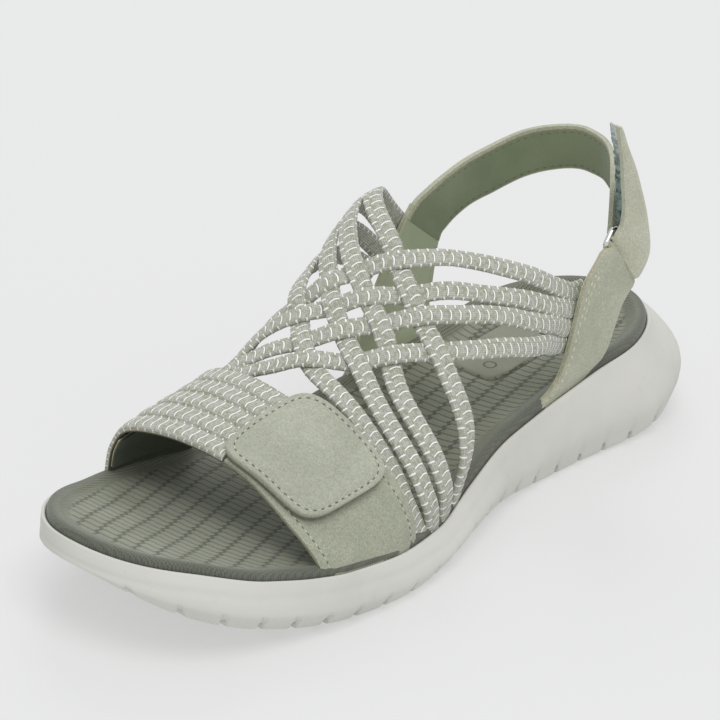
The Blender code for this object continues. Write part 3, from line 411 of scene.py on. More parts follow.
class Graph:
    """A material's node tree with short calls for the nodes used here."""

    def __init__(self, name, colour, roughness, metallic=0.0, sheen=0.0, specular=0.5):
        self.material = bpy.data.materials.new(name)
        self.material.use_nodes = True
        self.material.diffuse_color = (*colour, 1.0)
        self.tree = self.material.node_tree
        self.shader = self.tree.nodes["Principled BSDF"]
        self.place = self.add("ShaderNodeTexCoord").outputs["Object"]
        settings = {"Base Color": (*colour, 1.0), "Roughness": roughness, "Metallic": metallic,
                    "Sheen Weight": sheen, "Specular IOR Level": specular}
        for socket, value in settings.items():
            self.shader.inputs[socket].default_value = value

    def add(self, kind):
        return self.tree.nodes.new(kind)

    def put(self, socket, value):
        if isinstance(value, Value):
            self.tree.links.new(value.socket, socket)
        else:
            socket.default_value = (*value, 1.0) if isinstance(value, tuple) else value

    def math(self, operation, a, b=0.0):
        node = self.add("ShaderNodeMath")
        node.operation = operation
        self.put(node.inputs[0], a)
        self.put(node.inputs[1], b)
        return Value(self, node.outputs[0])

    def sine(self, value):
        return self.math("SINE", value)

    def fract(self, value):
        return self.math("FRACT", value)

    def step(self, value, low, high):
        """0 below low, 1 above high, smooth between; low may be above high."""
        node = self.add("ShaderNodeMapRange")
        node.interpolation_type = "SMOOTHSTEP"
        self.put(node.inputs["Value"], value)
        settings = {"From Min": min(low, high), "From Max": max(low, high),
                    "To Min": float(low > high), "To Max": float(low <= high)}
        for socket, number in settings.items():
            node.inputs[socket].default_value = number
        return Value(self, node.outputs["Result"])

    def mix(self, share, a, b):
        node = self.add("ShaderNodeMix")
        node.data_type = "RGBA"
        for socket, value in ((node.inputs["Factor"], share), (node.inputs[6], a), (node.inputs[7], b)):
            self.put(socket, value)
        return Value(self, node.outputs[2])

    def split(self, socket):
        """The three numbers of a vector."""
        node = self.add("ShaderNodeSeparateXYZ")
        self.tree.links.new(socket, node.inputs[0])
        return [Value(self, output) for output in node.outputs]

    def uv(self):
        node = self.add("ShaderNodeUVMap")
        node.uv_map = "run"
        return self.split(node.outputs[0])[:2]

    def noise(self, scale, detail=3.0, roughness=0.55):
        node = self.add("ShaderNodeTexNoise")
        for socket, number in (("Scale", scale), ("Detail", detail), ("Roughness", roughness)):
            node.inputs[socket].default_value = number
        self.tree.links.new(self.place, node.inputs["Vector"])
        return Value(self, node.outputs["Fac"])

    def colour(self, value):
        self.put(self.shader.inputs["Base Color"], value)

    def rough(self, value):
        self.put(self.shader.inputs["Roughness"], value)

    def bump(self, height, strength, distance):
        node = self.add("ShaderNodeBump")
        node.inputs["Strength"].default_value = strength
        node.inputs["Distance"].default_value = distance
        self.put(node.inputs["Height"], height)
        normal = self.shader.inputs["Normal"]
        if normal.links:
            self.tree.links.new(normal.links[0].from_socket, node.inputs["Normal"])
        self.tree.links.new(node.outputs[0], normal)


def shade(colour, factor):
    return tuple(factor * v for v in colour)


def nubuck(name, light, dark, grain=1.0):
    g = Graph(name, light, 0.8, sheen=0.25, specular=0.3)
    fine = g.noise(1500, 2, 0.6)
    mid = g.noise(420, 3)
    tone = g.mix(g.step(g.noise(60, 4), 0.36, 0.64), dark, light)
    tone = g.mix(g.step(fine, 0.56, 0.38) * (0.34 * grain), tone, shade(dark, 0.62))
    tone = g.mix(g.step(g.noise(2600, 1), 0.52, 0.66) * (0.30 * grain), tone, shade(light, 1.28))
    g.colour(g.mix(g.step(mid, 0.58, 0.40) * 0.22, tone, shade(dark, 0.80)))
    g.rough(fine * 0.2 + 0.68)
    g.bump(fine, 0.45 * grain, 0.0003)
    g.bump(mid, 0.25, 0.0004)
    return g.material


# White floats of each kind of band: lean, wave and bow along it, and where they start and end across it
FLOATS = {
    "a": {"slant": 0.10, "wave": 0.06, "bow": -0.10,
          "low": -0.28, "high": 0.80, "rim_low": -0.44, "rim_high": 0.93},
    "b": {"slant": 0.00, "wave": 0.02, "bow": -0.50,
          "low": -0.70, "high": 0.40, "rim_low": -0.82, "rim_high": 0.54},
    "toe": {"slant": 0.03, "wave": 0.09, "bow": 0.0,
            "low": -0.74, "high": 0.74, "rim_low": -0.90, "rim_high": 0.90},
}
FLOAT_HALF = 0.076
FLOAT_WAVES = 4.6
FLOAT_SOFT = 0.04


def float_bend(across, shape, sine):
    """How far a float lies along the band, in pitches, at a place across it."""
    off = across - (shape["low"] + shape["high"]) / 2
    return off * off * shape["bow"] + sine(across * FLOAT_WAVES) * shape["wave"] + across * shape["slant"]


def elastic_material(kind):
    """Woven elastic: lengthwise ribs, and thin white floats at one pitch, offset at the edges."""
    g = Graph(f"elastic_{kind}", (0.42, 0.43, 0.35), 0.8, sheen=0.2, specular=0.3)
    shape = FLOATS[kind]
    along, across = g.uv()

    def above(level, sign):
        return g.step(across, shape[level] - sign * FLOAT_SOFT, shape[level] + sign * FLOAT_SOFT)

    off = abs(g.fract(along + float_bend(across, shape, g.sine)) - 0.5)
    centre = g.step(off, FLOAT_HALF + 0.02, FLOAT_HALF - 0.02)
    middle = above("low", 1) * above("high", -1)
    edge = g.step(abs(g.fract(along + 0.5) - 0.5), FLOAT_HALF + 0.025, FLOAT_HALF - 0.015)
    sides = above("rim_low", -1) + above("rim_high", 1)
    outside = g.step(abs(across), 1.55, 1.35)
    white = g.math("MAXIMUM", centre * middle, edge * sides * outside)
    ribs = abs(g.sine(across * (math.pi * 4.5)))
    dashes = abs(g.sine(along * (math.pi * 5)))
    tone = g.mix(g.step(g.noise(1000, 2), 0.38, 0.60), (0.335, 0.350, 0.245), (0.505, 0.505, 0.455))
    tone = g.mix(g.step(g.noise(380, 2), 0.40, 0.62) * 0.30, tone, (0.60, 0.59, 0.56))
    tone = g.mix(g.step(ribs, 0.55, 0.05) * 0.50, tone, (0.20, 0.205, 0.165))
    tone = g.mix(g.step(dashes, 0.55, 0.05) * 0.34, tone, (0.22, 0.225, 0.18))
    # Painted shade: the ground darkens beside each white float.
    tone = g.mix(g.step(off, 0.20, 0.10) * middle * 0.40, tone, (0.19, 0.20, 0.155))
    g.colour(g.mix(white, tone, (0.93, 0.93, 0.91)))
    g.bump(ribs * 0.45 + dashes * 0.25 + white, 0.55, 0.0003)
    return g.material


def foam_material():
    g = Graph("sole_foam", (0.63, 0.62, 0.575), 0.55, specular=0.35)
    scuff = g.noise(160, 5, 0.65)
    tone = g.mix(g.step(g.noise(26, 3), 0.3, 0.7), (0.60, 0.595, 0.55), (0.66, 0.655, 0.61))
    # Painted shade: darker inside the tread grooves, by the groove share in the UV map.
    tone = g.mix(g.step(g.uv()[0], 0.25, 0.9) * 0.60, tone, (0.22, 0.215, 0.19))
    g.colour(g.mix(g.step(scuff, 0.60, 0.72) * 0.22, tone, (0.52, 0.51, 0.46)))
    g.rough(scuff * 0.25 + 0.42)
    g.bump(g.noise(2600, 2), 0.12, 0.0002)
    return g.material


BADGE = {"x": -4.3, "y": 63.2, "half_width": 11.0, "half_length": 18.0, "power": 6,
         "ring_x": -1.0, "ring_y": 53.0, "ring_radius": 2.0}
BRICK_LENGTH = 7.2
BRICK_WIDTH = 2.95
MESH_PITCH = 1.6


def footbed_material():
    """Bricks in leaning, staggered columns, a fine mesh along the border, and a dark rolled edge."""
    g = Graph("footbed_cover", (0.21, 0.22, 0.165), 0.7, sheen=0.2, specular=0.35)
    mark, edge = g.uv()
    frame_x, frame_y, _ = g.split(g.place)
    x = frame_x / MM - float(SHIFT[0])
    y = frame_y / MM - float(SHIFT[1])
    toe = g.math("LOGARITHM", g.math("EXPONENT", (-62.0 - y) / 11.0) + 1.0, math.e)
    u = (x + (y * 0.16 - toe * 3.0) + 100.0) / BRICK_LENGTH
    inside = g.fract(u) * 2.0 - 1.0
    right = g.math("MAXIMUM", x - 6.0, 0.0)
    curve = x * 0.12 - right * right * 0.0085
    v = (y + curve - inside * 0.45) / BRICK_WIDTH + g.math("FLOOR", u) * 0.5
    zig = abs(g.fract(v + 0.25) - 0.5) * 4.0 - 1.0
    side = 1.0 - abs(inside - zig * 0.17)
    rows = g.step(abs(g.fract(v) - 0.5), 0.31, 0.47) * 0.74
    sides = g.step(abs(side), 0.25, 0.08)
    press = g.math("MAXIMUM", rows, sides) * (g.step(edge, 0.86, 1.25) * g.step(mark, -0.25, -0.05))
    turn = 2 * math.pi / (MESH_PITCH * MM)
    weft = g.sine((frame_x + frame_y) * turn) * g.sine((frame_x - frame_y) * turn)
    mesh = g.step(weft, -0.2, 0.4) * g.step(edge, 1.15, 0.9)
    off, back = x - BADGE["ring_x"], y - BADGE["ring_y"]
    reach = g.math("SQRT", off * off + back * back)
    circle = g.step(abs(reach - BADGE["ring_radius"]), 0.45, 0.2)
    grain = g.noise(1900, 3, 0.7)
    tone = g.mix(g.step(g.noise(40, 4), 0.3, 0.7), (0.222, 0.232, 0.172), (0.285, 0.297, 0.228))
    tone = g.mix(press * 0.84, tone, (0.062, 0.068, 0.044))
    tone = g.mix(mesh * 0.80, tone, (0.072, 0.078, 0.055))
    tone = g.mix(g.step(edge, 0.60, 0.18) * 0.66, tone, (0.075, 0.082, 0.070))
    tone = g.mix(g.math("MAXIMUM", mark, circle) * 0.8, tone, (0.065, 0.070, 0.048))
    tone = g.mix(g.step(grain, 0.40, 0.60) * 0.25, tone, (0.135, 0.142, 0.10))
    g.colour(g.mix(g.step(grain, 0.5, 0.8) * 0.25, tone, (0.40, 0.41, 0.33)))
    g.bump(grain, 0.35, 0.0003)
    g.bump(1.0 - press, 0.55, 0.0006)
    g.bump(1.0 - mesh, 0.35, 0.0003)
    g.bump(1.0 - circle, 0.5, 0.0005)
    return g.material


def cloth(name, light, dark):
    g = Graph(name, light, 0.85, sheen=0.2, specular=0.25)
    fine = g.noise(1400, 2)
    tone = g.mix(g.step(g.noise(48, 3), 0.3, 0.7), dark, light)
    g.colour(g.mix(g.step(fine, 0.4, 0.7) * 0.3, tone, dark))
    g.bump(fine, 0.3, 0.0003)
    return g.material


def raw_edge():
    g = Graph("raw_edge", (0.42, 0.33, 0.22), 0.85, specular=0.2)
    fibre = g.noise(1300, 3, 0.7)
    g.colour(g.mix(g.step(fibre, 0.35, 0.65), (0.30, 0.235, 0.155), (0.52, 0.43, 0.31)))
    g.bump(fibre, 0.4, 0.0003)
    return g.material


def hooks():
    """Dark green hook tape with painted light: paler towards the tip of the strap, by height."""
    g = Graph("hook_tape", (0.05, 0.12, 0.10), 0.8, sheen=0.3, specular=0.3)
    fuzz = g.noise(900, 3, 0.7)
    # Painted light: the tape turns paler with height, and its lower part is darker as painted shade.
    high = g.step(g.split(g.place)[2], 0.094, 0.116)
    dark = g.mix(high, (0.016, 0.045, 0.038), (0.30, 0.36, 0.34))
    light = g.mix(high, (0.16, 0.25, 0.23), (0.62, 0.68, 0.65))
    tone = g.mix(g.step(g.noise(420, 3), 0.42, 0.60), dark, light)
    g.colour(g.mix(g.step(fuzz, 0.52, 0.70) * 0.6, tone, (0.44, 0.52, 0.49)))
    g.bump(fuzz, 0.8, 0.0008)
    return g.material


def chrome():
    g = Graph("ring_chrome", (0.80, 0.80, 0.79), 0.12, metallic=1.0)
    g.rough(g.noise(700, 3) * 0.1 + 0.06)
    g.colour(g.mix(g.step(g.noise(90, 2), 0.3, 0.7), (0.72, 0.72, 0.71), (0.86, 0.86, 0.85)))
    return g.material


def thread(name, light, dark):
    g = Graph(name, light, 0.7, specular=0.3)
    twist = g.noise(2200, 2)
    g.colour(g.mix(g.step(twist, 0.35, 0.65), dark, light))
    g.bump(twist, 0.4, 0.0002)
    return g.material


LEATHER = nubuck("sage_nubuck", (0.437, 0.452, 0.360), (0.378, 0.392, 0.308), 1.25)
# Darker copy of the sage nubuck for the base strap: painted shade.
SHADED_BASE_LEATHER = nubuck("sage_base_painted_shade", (0.415, 0.430, 0.333), (0.355, 0.370, 0.280), 1.5)
STRAP_LEATHER = nubuck("sage_strap", (0.470, 0.480, 0.367), (0.405, 0.415, 0.311), 1.3)
# Lighter copy of the sage nubuck for the free end: painted light.
LIT_FREE_LEATHER = nubuck("sage_free_end_painted_light", (0.565, 0.570, 0.447), (0.495, 0.502, 0.385), 1.2)
ELASTICS = {kind: elastic_material(kind) for kind in FLOATS}
FOAM = foam_material()
FOOTBED = footbed_material()
LINING_CLOTH = cloth("green_lining", (0.175, 0.215, 0.130), (0.135, 0.170, 0.100))
# Lighter copy of the green lining for the quarters' inner faces: painted light.
LIT_QUARTER_LINING = cloth("quarter_lining_painted_light", (0.440, 0.490, 0.340), (0.365, 0.410, 0.275))
# Lighter copy of the green lining for the heel strap's inner face: painted light.
LIT_STRAP_LINING = cloth("strap_lining_painted_light", (0.235, 0.275, 0.172), (0.185, 0.225, 0.132))
# Darker copy of the green lining under the toe band and the weave: painted shade.
SHADED_LINING = cloth("band_lining_painted_shade", (0.085, 0.100, 0.062), (0.060, 0.072, 0.045))
RAW = raw_edge()
HOOKS = hooks()
METAL = chrome()
# Dark thread on the heel strap's inner face, also used as painted shade in the needle holes of the base
# strap and tab.
HOLE_SHADE_AND_DARK_THREAD = thread("dark_thread_and_hole_shade", (0.17, 0.18, 0.13), (0.08, 0.085, 0.06))
SAGE_THREAD = thread("sage_thread", (0.46, 0.47, 0.36), (0.34, 0.35, 0.26))
TAN_THREAD = thread("tan_thread", (0.66, 0.63, 0.52), (0.52, 0.50, 0.40))
PALE_THREAD = thread("pale_thread", (0.64, 0.65, 0.55), (0.50, 0.51, 0.42))

# Meshes


def piece(name, verts, faces, materials, node, face_slots=None, uvs=None, sharp=40):
    """Mesh object in the frame that rides on the shoe and stands for a node."""
    mesh = bpy.data.meshes.new(name)
    spots = ((np.asarray(verts) + SHIFT) * MM).tolist()
    mesh.from_pydata(spots, [], [tuple(int(i) for i in f) for f in faces])
    for material in materials:
        mesh.materials.append(material)
    if face_slots is not None:
        mesh.polygons.foreach_set("material_index", np.asarray(face_slots, dtype=np.int32))
    if uvs is not None:
        layer = mesh.uv_layers.new(name="run")
        layer.data.foreach_set("uv", np.asarray(uvs, dtype=np.float32).ravel())
    mesh.shade_smooth()
    mesh.set_sharp_from_angle(angle=math.radians(sharp))
    mesh.update()
    made = place_object(name, mesh)
    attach(made, "root")
    if node:
        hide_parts(node)
    return made


def round_edges(thing, width, segments=2, angle=45):
    bevel = thing.modifiers.new("rounded", "BEVEL")
    bevel.width = width * MM
    bevel.segments = segments
    bevel.limit_method = "ANGLE"
    bevel.angle_limit = math.radians(angle)


def ribbon_normals(rows):
    ahead = np.gradient(rows, axis=0)
    across = np.gradient(rows, axis=1)
    out = np.cross(across, ahead)
    return out / np.linalg.norm(out, axis=2)[..., None]


def layered(name, rows, normals, offsets, layers, materials, node, uv=None, bevel=0.0, inside=None):
    """Closed sheet on a grid: offsets are the outer and inner distance (numbers or grids).

    Layers are (share of the thickness, material index) for the side wall from outside to inside;
    inside gives the inner face's material index per column.
    """
    m, n = rows.shape[:2]
    outer = rows + normals * np.broadcast_to(offsets[0], (m, n))[..., None]
    inner = rows + normals * np.broadcast_to(offsets[1], (m, n))[..., None]
    verts = [outer.reshape(-1, 3), inner.reshape(-1, 3)]
    faces, slots, uvs = [], [], []

    def at(layer, i, j):
        return layer * m * n + i * n + j

    for i in range(m - 1):
        for j in range(n - 1):
            faces.append((at(0, i, j), at(0, i, j + 1), at(0, i + 1, j + 1), at(0, i + 1, j)))
            slots.append(0)
            faces.append((at(1, i, j), at(1, i + 1, j), at(1, i + 1, j + 1), at(1, i, j + 1)))
            slots.append(len(materials) - 1 if inside is None else inside[j])
            if uv is not None:
                (u0, u1), (v0, v1) = uv(i, j)
                uvs += [(u0, v0), (u0, v1), (u1, v1), (u1, v0)]
                uvs += [(u0, v0), (u1, v0), (u1, v1), (u0, v1)]
    rim = [(i, 0) for i in range(m)] + [(m - 1, j) for j in range(1, n)]
    rim += [(i, n - 1) for i in range(m - 2, -1, -1)] + [(0, j) for j in range(n - 2, 0, -1)]
    k = len(rim)
    loops = [[at(0, i, j) for i, j in rim]]

    def corner(i, j):
        p, q = min(i, m - 2), min(j, n - 2)
        us, vs = uv(p, q)
        return us[i - p], vs[j - q]

    base = 2 * m * n
    done = 0.0
    for share, _ in layers[:-1]:
        done += share
        ring = np.array([outer[i, j] * (1 - done) + inner[i, j] * done for i, j in rim])
        verts.append(ring)
        loops.append([base + s for s in range(k)])
        base += k
    loops.append([at(1, i, j) for i, j in rim])
    for (upper, lower), (_, index) in zip(zip(loops[:-1], loops[1:]), layers):
        for s in range(k):
            t = (s + 1) % k
            faces.append((upper[s], upper[t], lower[t], lower[s]))
            slots.append(index)
            if uv is not None:
                uvs += [corner(*rim[s]), corner(*rim[t]), corner(*rim[t]), corner(*rim[s])]
    made = piece(name, np.vstack(verts), faces, materials, node, slots, uvs if uv is not None else None)
    if bevel:
        round_edges(made, bevel)


# Pitch, length and width of each kind of stitch
STITCHES = {
    "base": (2.5, 1.15, 0.38),
    "base_pale": (2.5, 1.2, 0.42),
    "tab": (2.55, 1.15, 0.38),
    "tab_pale": (2.55, 1.2, 0.42),
    "quarter": (2.6, 1.7, 0.62),
    "quarter_top": (2.6, 1.7, 0.5),
    "strap": (2.6, 1.7, 0.45),
    "strap_inside": (2.6, 1.5, 0.4),
}


def stitches(name, points, normals, kind, material, sink, shift=0.0):
    """Row of small thread stitches along a path on a surface, sunk a little into it."""
    pitch, length, width = STITCHES[kind]
    points, normals = np.asarray(points, float), np.asarray(normals, float)
    run = run_along(points)
    count = max(2, int(run[-1] / pitch))
    sides, rings = 6, ((-0.8, 0.62), (-0.3, 1.0), (0.3, 1.0), (0.8, 0.62))
    turns = 2 * math.pi * np.arange(sides) / sides
    at = (np.arange(count) + 0.5 + shift) * run[-1] / count
    aheads = resample(np.minimum(at + 0.6, run[-1]), run, points)
    aheads -= resample(np.maximum(at - 0.6, 0), run, points)
    verts, faces = [], []
    for spot, ahead, up in zip(resample(at, run, points), aheads, resample(at, run, normals)):
        ahead = ahead / np.linalg.norm(ahead)
        up = up - ahead * (up @ ahead)
        up /= np.linalg.norm(up)
        side = np.cross(ahead, up)
        base = len(verts)
        for along, size in rings:
            verts += [spot + ahead * along * length / 2 + side * math.cos(turn) * size * width / 2
                      + up * (math.sin(turn) * size * width / 2 - sink) for turn in turns]
        ends = len(verts)
        verts += [spot + ahead * end * length / 2 - up * (sink + 0.1) for end in (-1, 1)]
        for r in range(3):
            faces += ring_faces(base + r * sides, base + (r + 1) * sides, sides)
        for t in range(sides):
            u = (t + 1) % sides
            faces.append((base + u, base + t, ends))
            faces.append((base + 3 * sides + t, base + 3 * sides + u, ends + 1))
    piece(name, verts, faces, [material], None)


# Sole


def smooth_levels(start, stop, step):
    count = max(2, int(round((stop - start) / step)))
    return list(np.linspace(start, stop, count + 1))


def groove_spots():
    """Centre and half width along Y of each tread groove, at one pitch along the outer edge."""
    spots, y = [], GROOVE_LAST * LENGTH
    while True:
        slope = rim_half(y + 0.5) + rim_middle(y + 0.5) - rim_half(y - 0.5) - rim_middle(y - 0.5)
        share = 1 / math.hypot(1, slope)
        flank = GROOVE_WIDTH / 2 * share
        if y - flank < TOE_END * LENGTH + TOE_LAND:
            return spots[::-1]
        spots.append((y, flank))
        y -= GROOVE_PITCH * share


GROOVES = groove_spots()


def groove_cut(y):
    """How far into a tread groove a station lies: 0 on a land, 1 in the middle of a groove."""
    centre, flank = min(GROOVES, key=lambda spot: abs(y - spot[0]))
    share = min(max((1 - abs(y - centre) / (0.72 * flank)) / 0.55, 0.0), 1.0)
    return smooth(share) * (0.62 + 0.38 * (y / LENGTH + 0.5))


def make_sole():
    toe, heel = TOE_END * LENGTH, HEEL_END * LENGTH
    start = [toe + 4.0 * f ** 2 for f in np.linspace(0, 1, 12)[:-1]]
    last = GROOVES[-1][0] + 4.0
    back = [heel - (heel - last) * (1 - f) ** 2 for f in np.linspace(0, 1, 22)]
    ys = start + smooth_levels(toe + 4.0, last, 0.38)[:-1] + back
    points, normals = rungs(ys)
    count = len(points)
    rows, groove_shade = [], []
    for (x, y), (nx, ny) in zip(points, normals):
        top, low = rim_height(y), tread_height(y)
        skew = SIDE.get("skew", y / LENGTH) * nx
        tread = (SIDE.get("tread", y / LENGTH) + skew) * BULGE
        bulge = (SIDE.get("bulge", y / LENGTH) + skew) * BULGE
        lift = GROOVE_HEIGHT * groove_cut(y)
        rise = top - low
        low_side = low + TREAD_BEVEL + 0.65 * lift
        spots = [(tread - TREAD_BEVEL, low + lift),
                 (tread - 0.55 * TREAD_BEVEL, low + lift + 0.18 * TREAD_BEVEL),
                 (tread - 0.12 * TREAD_BEVEL, low_side - 0.38 * TREAD_BEVEL), (tread, low_side)]
        anchors = [(low_side, tread), (low + 0.37 * rise, bulge), (low + 0.78 * rise, 0.46 * bulge),
                   (top - 0.35 * LIP, 0.0)]
        z = np.array([a[0] for a in anchors])
        z = np.maximum.accumulate(z + np.arange(4) * 1e-3)
        curve = Table("z out", *[(zz, a[1]) for zz, a in zip(z, anchors)])
        for f in np.linspace(0, 1, 13)[1:-1]:
            zz = z[0] + (z[-1] - z[0]) * f
            out = curve.get("out", zz)
            seam = (top - zz - 4.6) / 0.7
            out -= 0.28 * math.exp(-seam * seam)
            spots.append((out, zz))
        spots += [(0.0, top - 0.35 * LIP), (-0.12 * LIP, top - 0.1 * LIP), (-0.4 * LIP, top),
                  (-0.8 * LIP, top - 0.1 * LIP), (-LIP, top - 0.35 * LIP), (-LIP, top - BASIN_DEPTH + 1.0)]
        rows.append([(x + nx * out, y + ny * out, zz) for out, zz in spots])
        # How deep in a groove each point lies, carried to the foam's painted groove shade.
        groove_shade.append([groove_cut(y) * max(0.0, 1 - max(0, k - 1) / 3.0) for k in range(len(spots))])
    rows = np.array(rows).transpose(1, 0, 2)
    groove_shade = np.array(groove_shade).T.reshape(-1)
    depth = len(rows)
    verts = rows.reshape(-1, 3)
    faces = []
    for r in range(depth - 1):
        faces += ring_faces(r * count, (r + 1) * count, count)
    faces += cap_faces(0, count, flip=True) + cap_faces((depth - 1) * count, count)
    flat = np.concatenate([np.asarray(f) for f in faces])
    uvs = np.column_stack([groove_shade[flat], np.zeros(len(flat))])
    piece("foam_sole", verts, faces, [FOAM], "sole", uvs=uvs, sharp=55)


# Footbed


def edge_distance(spots, points, block=4000):
    """Distance of each spot from the nearest point of the rim, block by block."""
    blocks = [spots[start:start + block] for start in range(0, len(spots), block)]
    return np.concatenate([np.min(np.linalg.norm(part[:, None] - points[None], axis=2), axis=1)
                           for part in blocks])


def footbed_height(across_x, ys, near):
    """Height of the footbed's top: a rolled edge that blends into a cupped middle."""
    level, place = np.unique(ys, return_inverse=True)
    half, middle, rim = (np.array([read(y) for y in level])[place]
                         for read in (rim_half, rim_middle, rim_height))
    half = np.maximum(half, 1.0)
    across = np.minimum(np.abs(across_x - middle) / half, 1)
    cup = FOOTBED_CUP * (0.55 + 0.45 * np.tanh((ys / LENGTH - 0.18) * 9))
    wide = np.minimum(1.0, half / (0.3 * BALL_WIDTH))
    cupped = rim + FOOTBED_ROLL * 0.4 - cup * wide * (1 - across ** 3)
    rise = np.interp(near, (0, 0.6, 1.4, 2.4, 3.6, 5.0), (0.2, 0.8, 0.97, 1.0, 0.86, 0.55))
    rolled = rim + FOOTBED_ROLL * rise
    blend = smooth(np.clip((near - 3.0) / 4.5, 0, 1))
    return rolled * (1 - blend) + cupped * blend


def badge_distance(x, y):
    """Signed distance, roughly, from the badge panel's outline: negative inside."""
    px = np.abs(x - BADGE["x"]) / BADGE["half_width"]
    py = np.abs(y - BADGE["y"]) / BADGE["half_length"]
    size = (px ** BADGE["power"] + py ** BADGE["power"]) ** (1 / BADGE["power"])
    return (size - 1) * np.where(px > py, BADGE["half_width"], BADGE["half_length"])


def make_footbed():
    toe, heel = TOE_END * LENGTH, HEEL_END * LENGTH
    inset = LIP + CLEARANCE
    edge_levels = [toe + 8.0 * f ** 2 for f in np.linspace(0, 1, 20)[:-1]]
    edge_levels += smooth_levels(toe + 8.0, heel - 8.0, 0.7)[:-1]
    edge_levels += [heel - 8.0 * (1 - f) ** 2 for f in np.linspace(0, 1, 20)]
    points, normals = rungs(edge_levels)
    count = len(points)
    rims = np.array([rim_height(y) for _, y in points])
    wall = [(inset, 2.0 - BASIN_DEPTH), (inset, 0.0), (inset + 0.15, 0.5 * FOOTBED_ROLL),
            (inset + 0.6, 0.8 * FOOTBED_ROLL)]
    rows = [np.column_stack([points - normals * back, rims + z]) for back, z in wall]
    ring = points - normals * (inset + 0.6)
    half_count = count // 2
    shares = 0.5 - 0.5 * np.cos(np.linspace(0, math.pi, 118)[1:-1])
    shares = 0.35 * shares + 0.65 * np.linspace(0, 1, 118)[1:-1]
    base = len(wall) * count
    lines, spots, ys = [], [], []
    edge_base = (len(wall) - 1) * count
    for i in range(half_count + 1):
        p, q = ring[i], ring[(count - i) % count]
        if i in (0, half_count):
            lines.append([edge_base + i])
            continue
        lines.append([edge_base + i] + [base + len(spots) + s for s in range(len(shares))]
                     + [edge_base + (count - i) % count])
        spots += [p + (q - p) * f for f in shares]
        ys += [points[i][1]] * len(shares)
    spots, ys = np.array(spots), np.array(ys)
    near = edge_distance(spots, points) - inset
    top = footbed_height(spots[:, 0], ys, near)
    badge = badge_distance(spots[:, 0], spots[:, 1])
    outline = np.exp(-(badge / 0.55) ** 2)
    mark = np.where(outline > 0.3, outline, np.where(badge < 0.4, -0.5, 0.0))
    z = top - 0.5 * outline + np.clip(-badge / 1.2, 0, 1) * 0.45
    verts = np.vstack(rows + [np.column_stack([spots, z])])
    depths = np.concatenate([np.zeros(len(wall) * count), mark])
    edges = np.concatenate([np.zeros(len(wall) * count), np.clip(near / 6.5, 0, 2)])
    faces = []
    for r in range(len(wall) - 1):
        faces += ring_faces(r * count, (r + 1) * count, count)
    for here, there in zip(lines[:-1], lines[1:]):
        if len(here) == 1 or len(there) == 1:
            tip, fan = (here[0], there) if len(here) == 1 else (there[0], here)
            faces += [(tip, a, b) if len(here) == 1 else (tip, b, a) for a, b in zip(fan[:-1], fan[1:])]
        else:
            faces += [(here[k], there[k], there[k + 1], here[k + 1]) for k in range(len(here) - 1)]
    faces += cap_faces(0, count, flip=True)
    flat = np.concatenate([np.asarray(f) for f in faces])
    uvs = np.column_stack([depths[flat], edges[flat]])
    piece("footbed_cover", verts, faces, [FOOTBED], "footbed", uvs=uvs, sharp=70)


# Elastic

TICK_PITCH = 3.05


def float_height(along, across, kind):
    """Height share of the white floats, as the material draws them."""
    shape = FLOATS[kind]

    def ridge(place):
        return np.clip((FLOAT_HALF + 0.05 - np.abs(place % 1.0 - 0.5)) / 0.09, 0, 1)

    centre = ridge(along + float_bend(across, shape, np.sin))
    centre = centre * ((across > shape["low"]) & (across < shape["high"]))
    edge = ridge(along + 0.5) * ((across < shape["rim_low"]) | (across > shape["rim_high"]))
    return np.maximum(centre, edge * (np.abs(across) < 1.5))


def band_line(path):
    rows = [(s * LENGTH, a, lev * ELASTIC_THICK) for s, a, lev in path]
    fine = spline(rows, 14 * len(rows))
    if path[0][1] == 0:
        down = [(rows[0][0], a, 0.0) for a in np.linspace(-4.5, -0.5, 6)]
        fine = np.vstack([down, fine])
    spots = np.array([form(y, a) for y, a, _ in fine])
    return {"fine": fine, "spots": spots, "run": run_along(spots), "over": []}


def cross_levels(lines):
    for i in range(1, 5):
        for j in range(1, 5):
            a, b = lines[f"a{i}"], lines[f"b{j}"]
            gaps = np.linalg.norm(a["spots"][:, None] - b["spots"][None], axis=2)
            p, q = np.unravel_index(np.argmin(gaps), gaps.shape)
            a_over = 1 if (i + j) % 2 == 0 else -1
            a["over"].append((a["run"][p], a_over))
            b["over"].append((b["run"][q], -a_over))


def weave_level(line, run):
    spots = sorted(line["over"])
    reach = 12.4
    marks = [(spots[0][0] - reach, 0)] + spots + [(spots[-1][0] + reach, 0)]
    for (r0, v0), (r1, v1) in zip(marks[:-1], marks[1:]):
        if r0 <= run <= r1:
            f = (run - r0) / max(r1 - r0, 1e-6)
            return WEAVE_LIFT * (v0 + (v1 - v0) * smooth(f))
    return 0.0


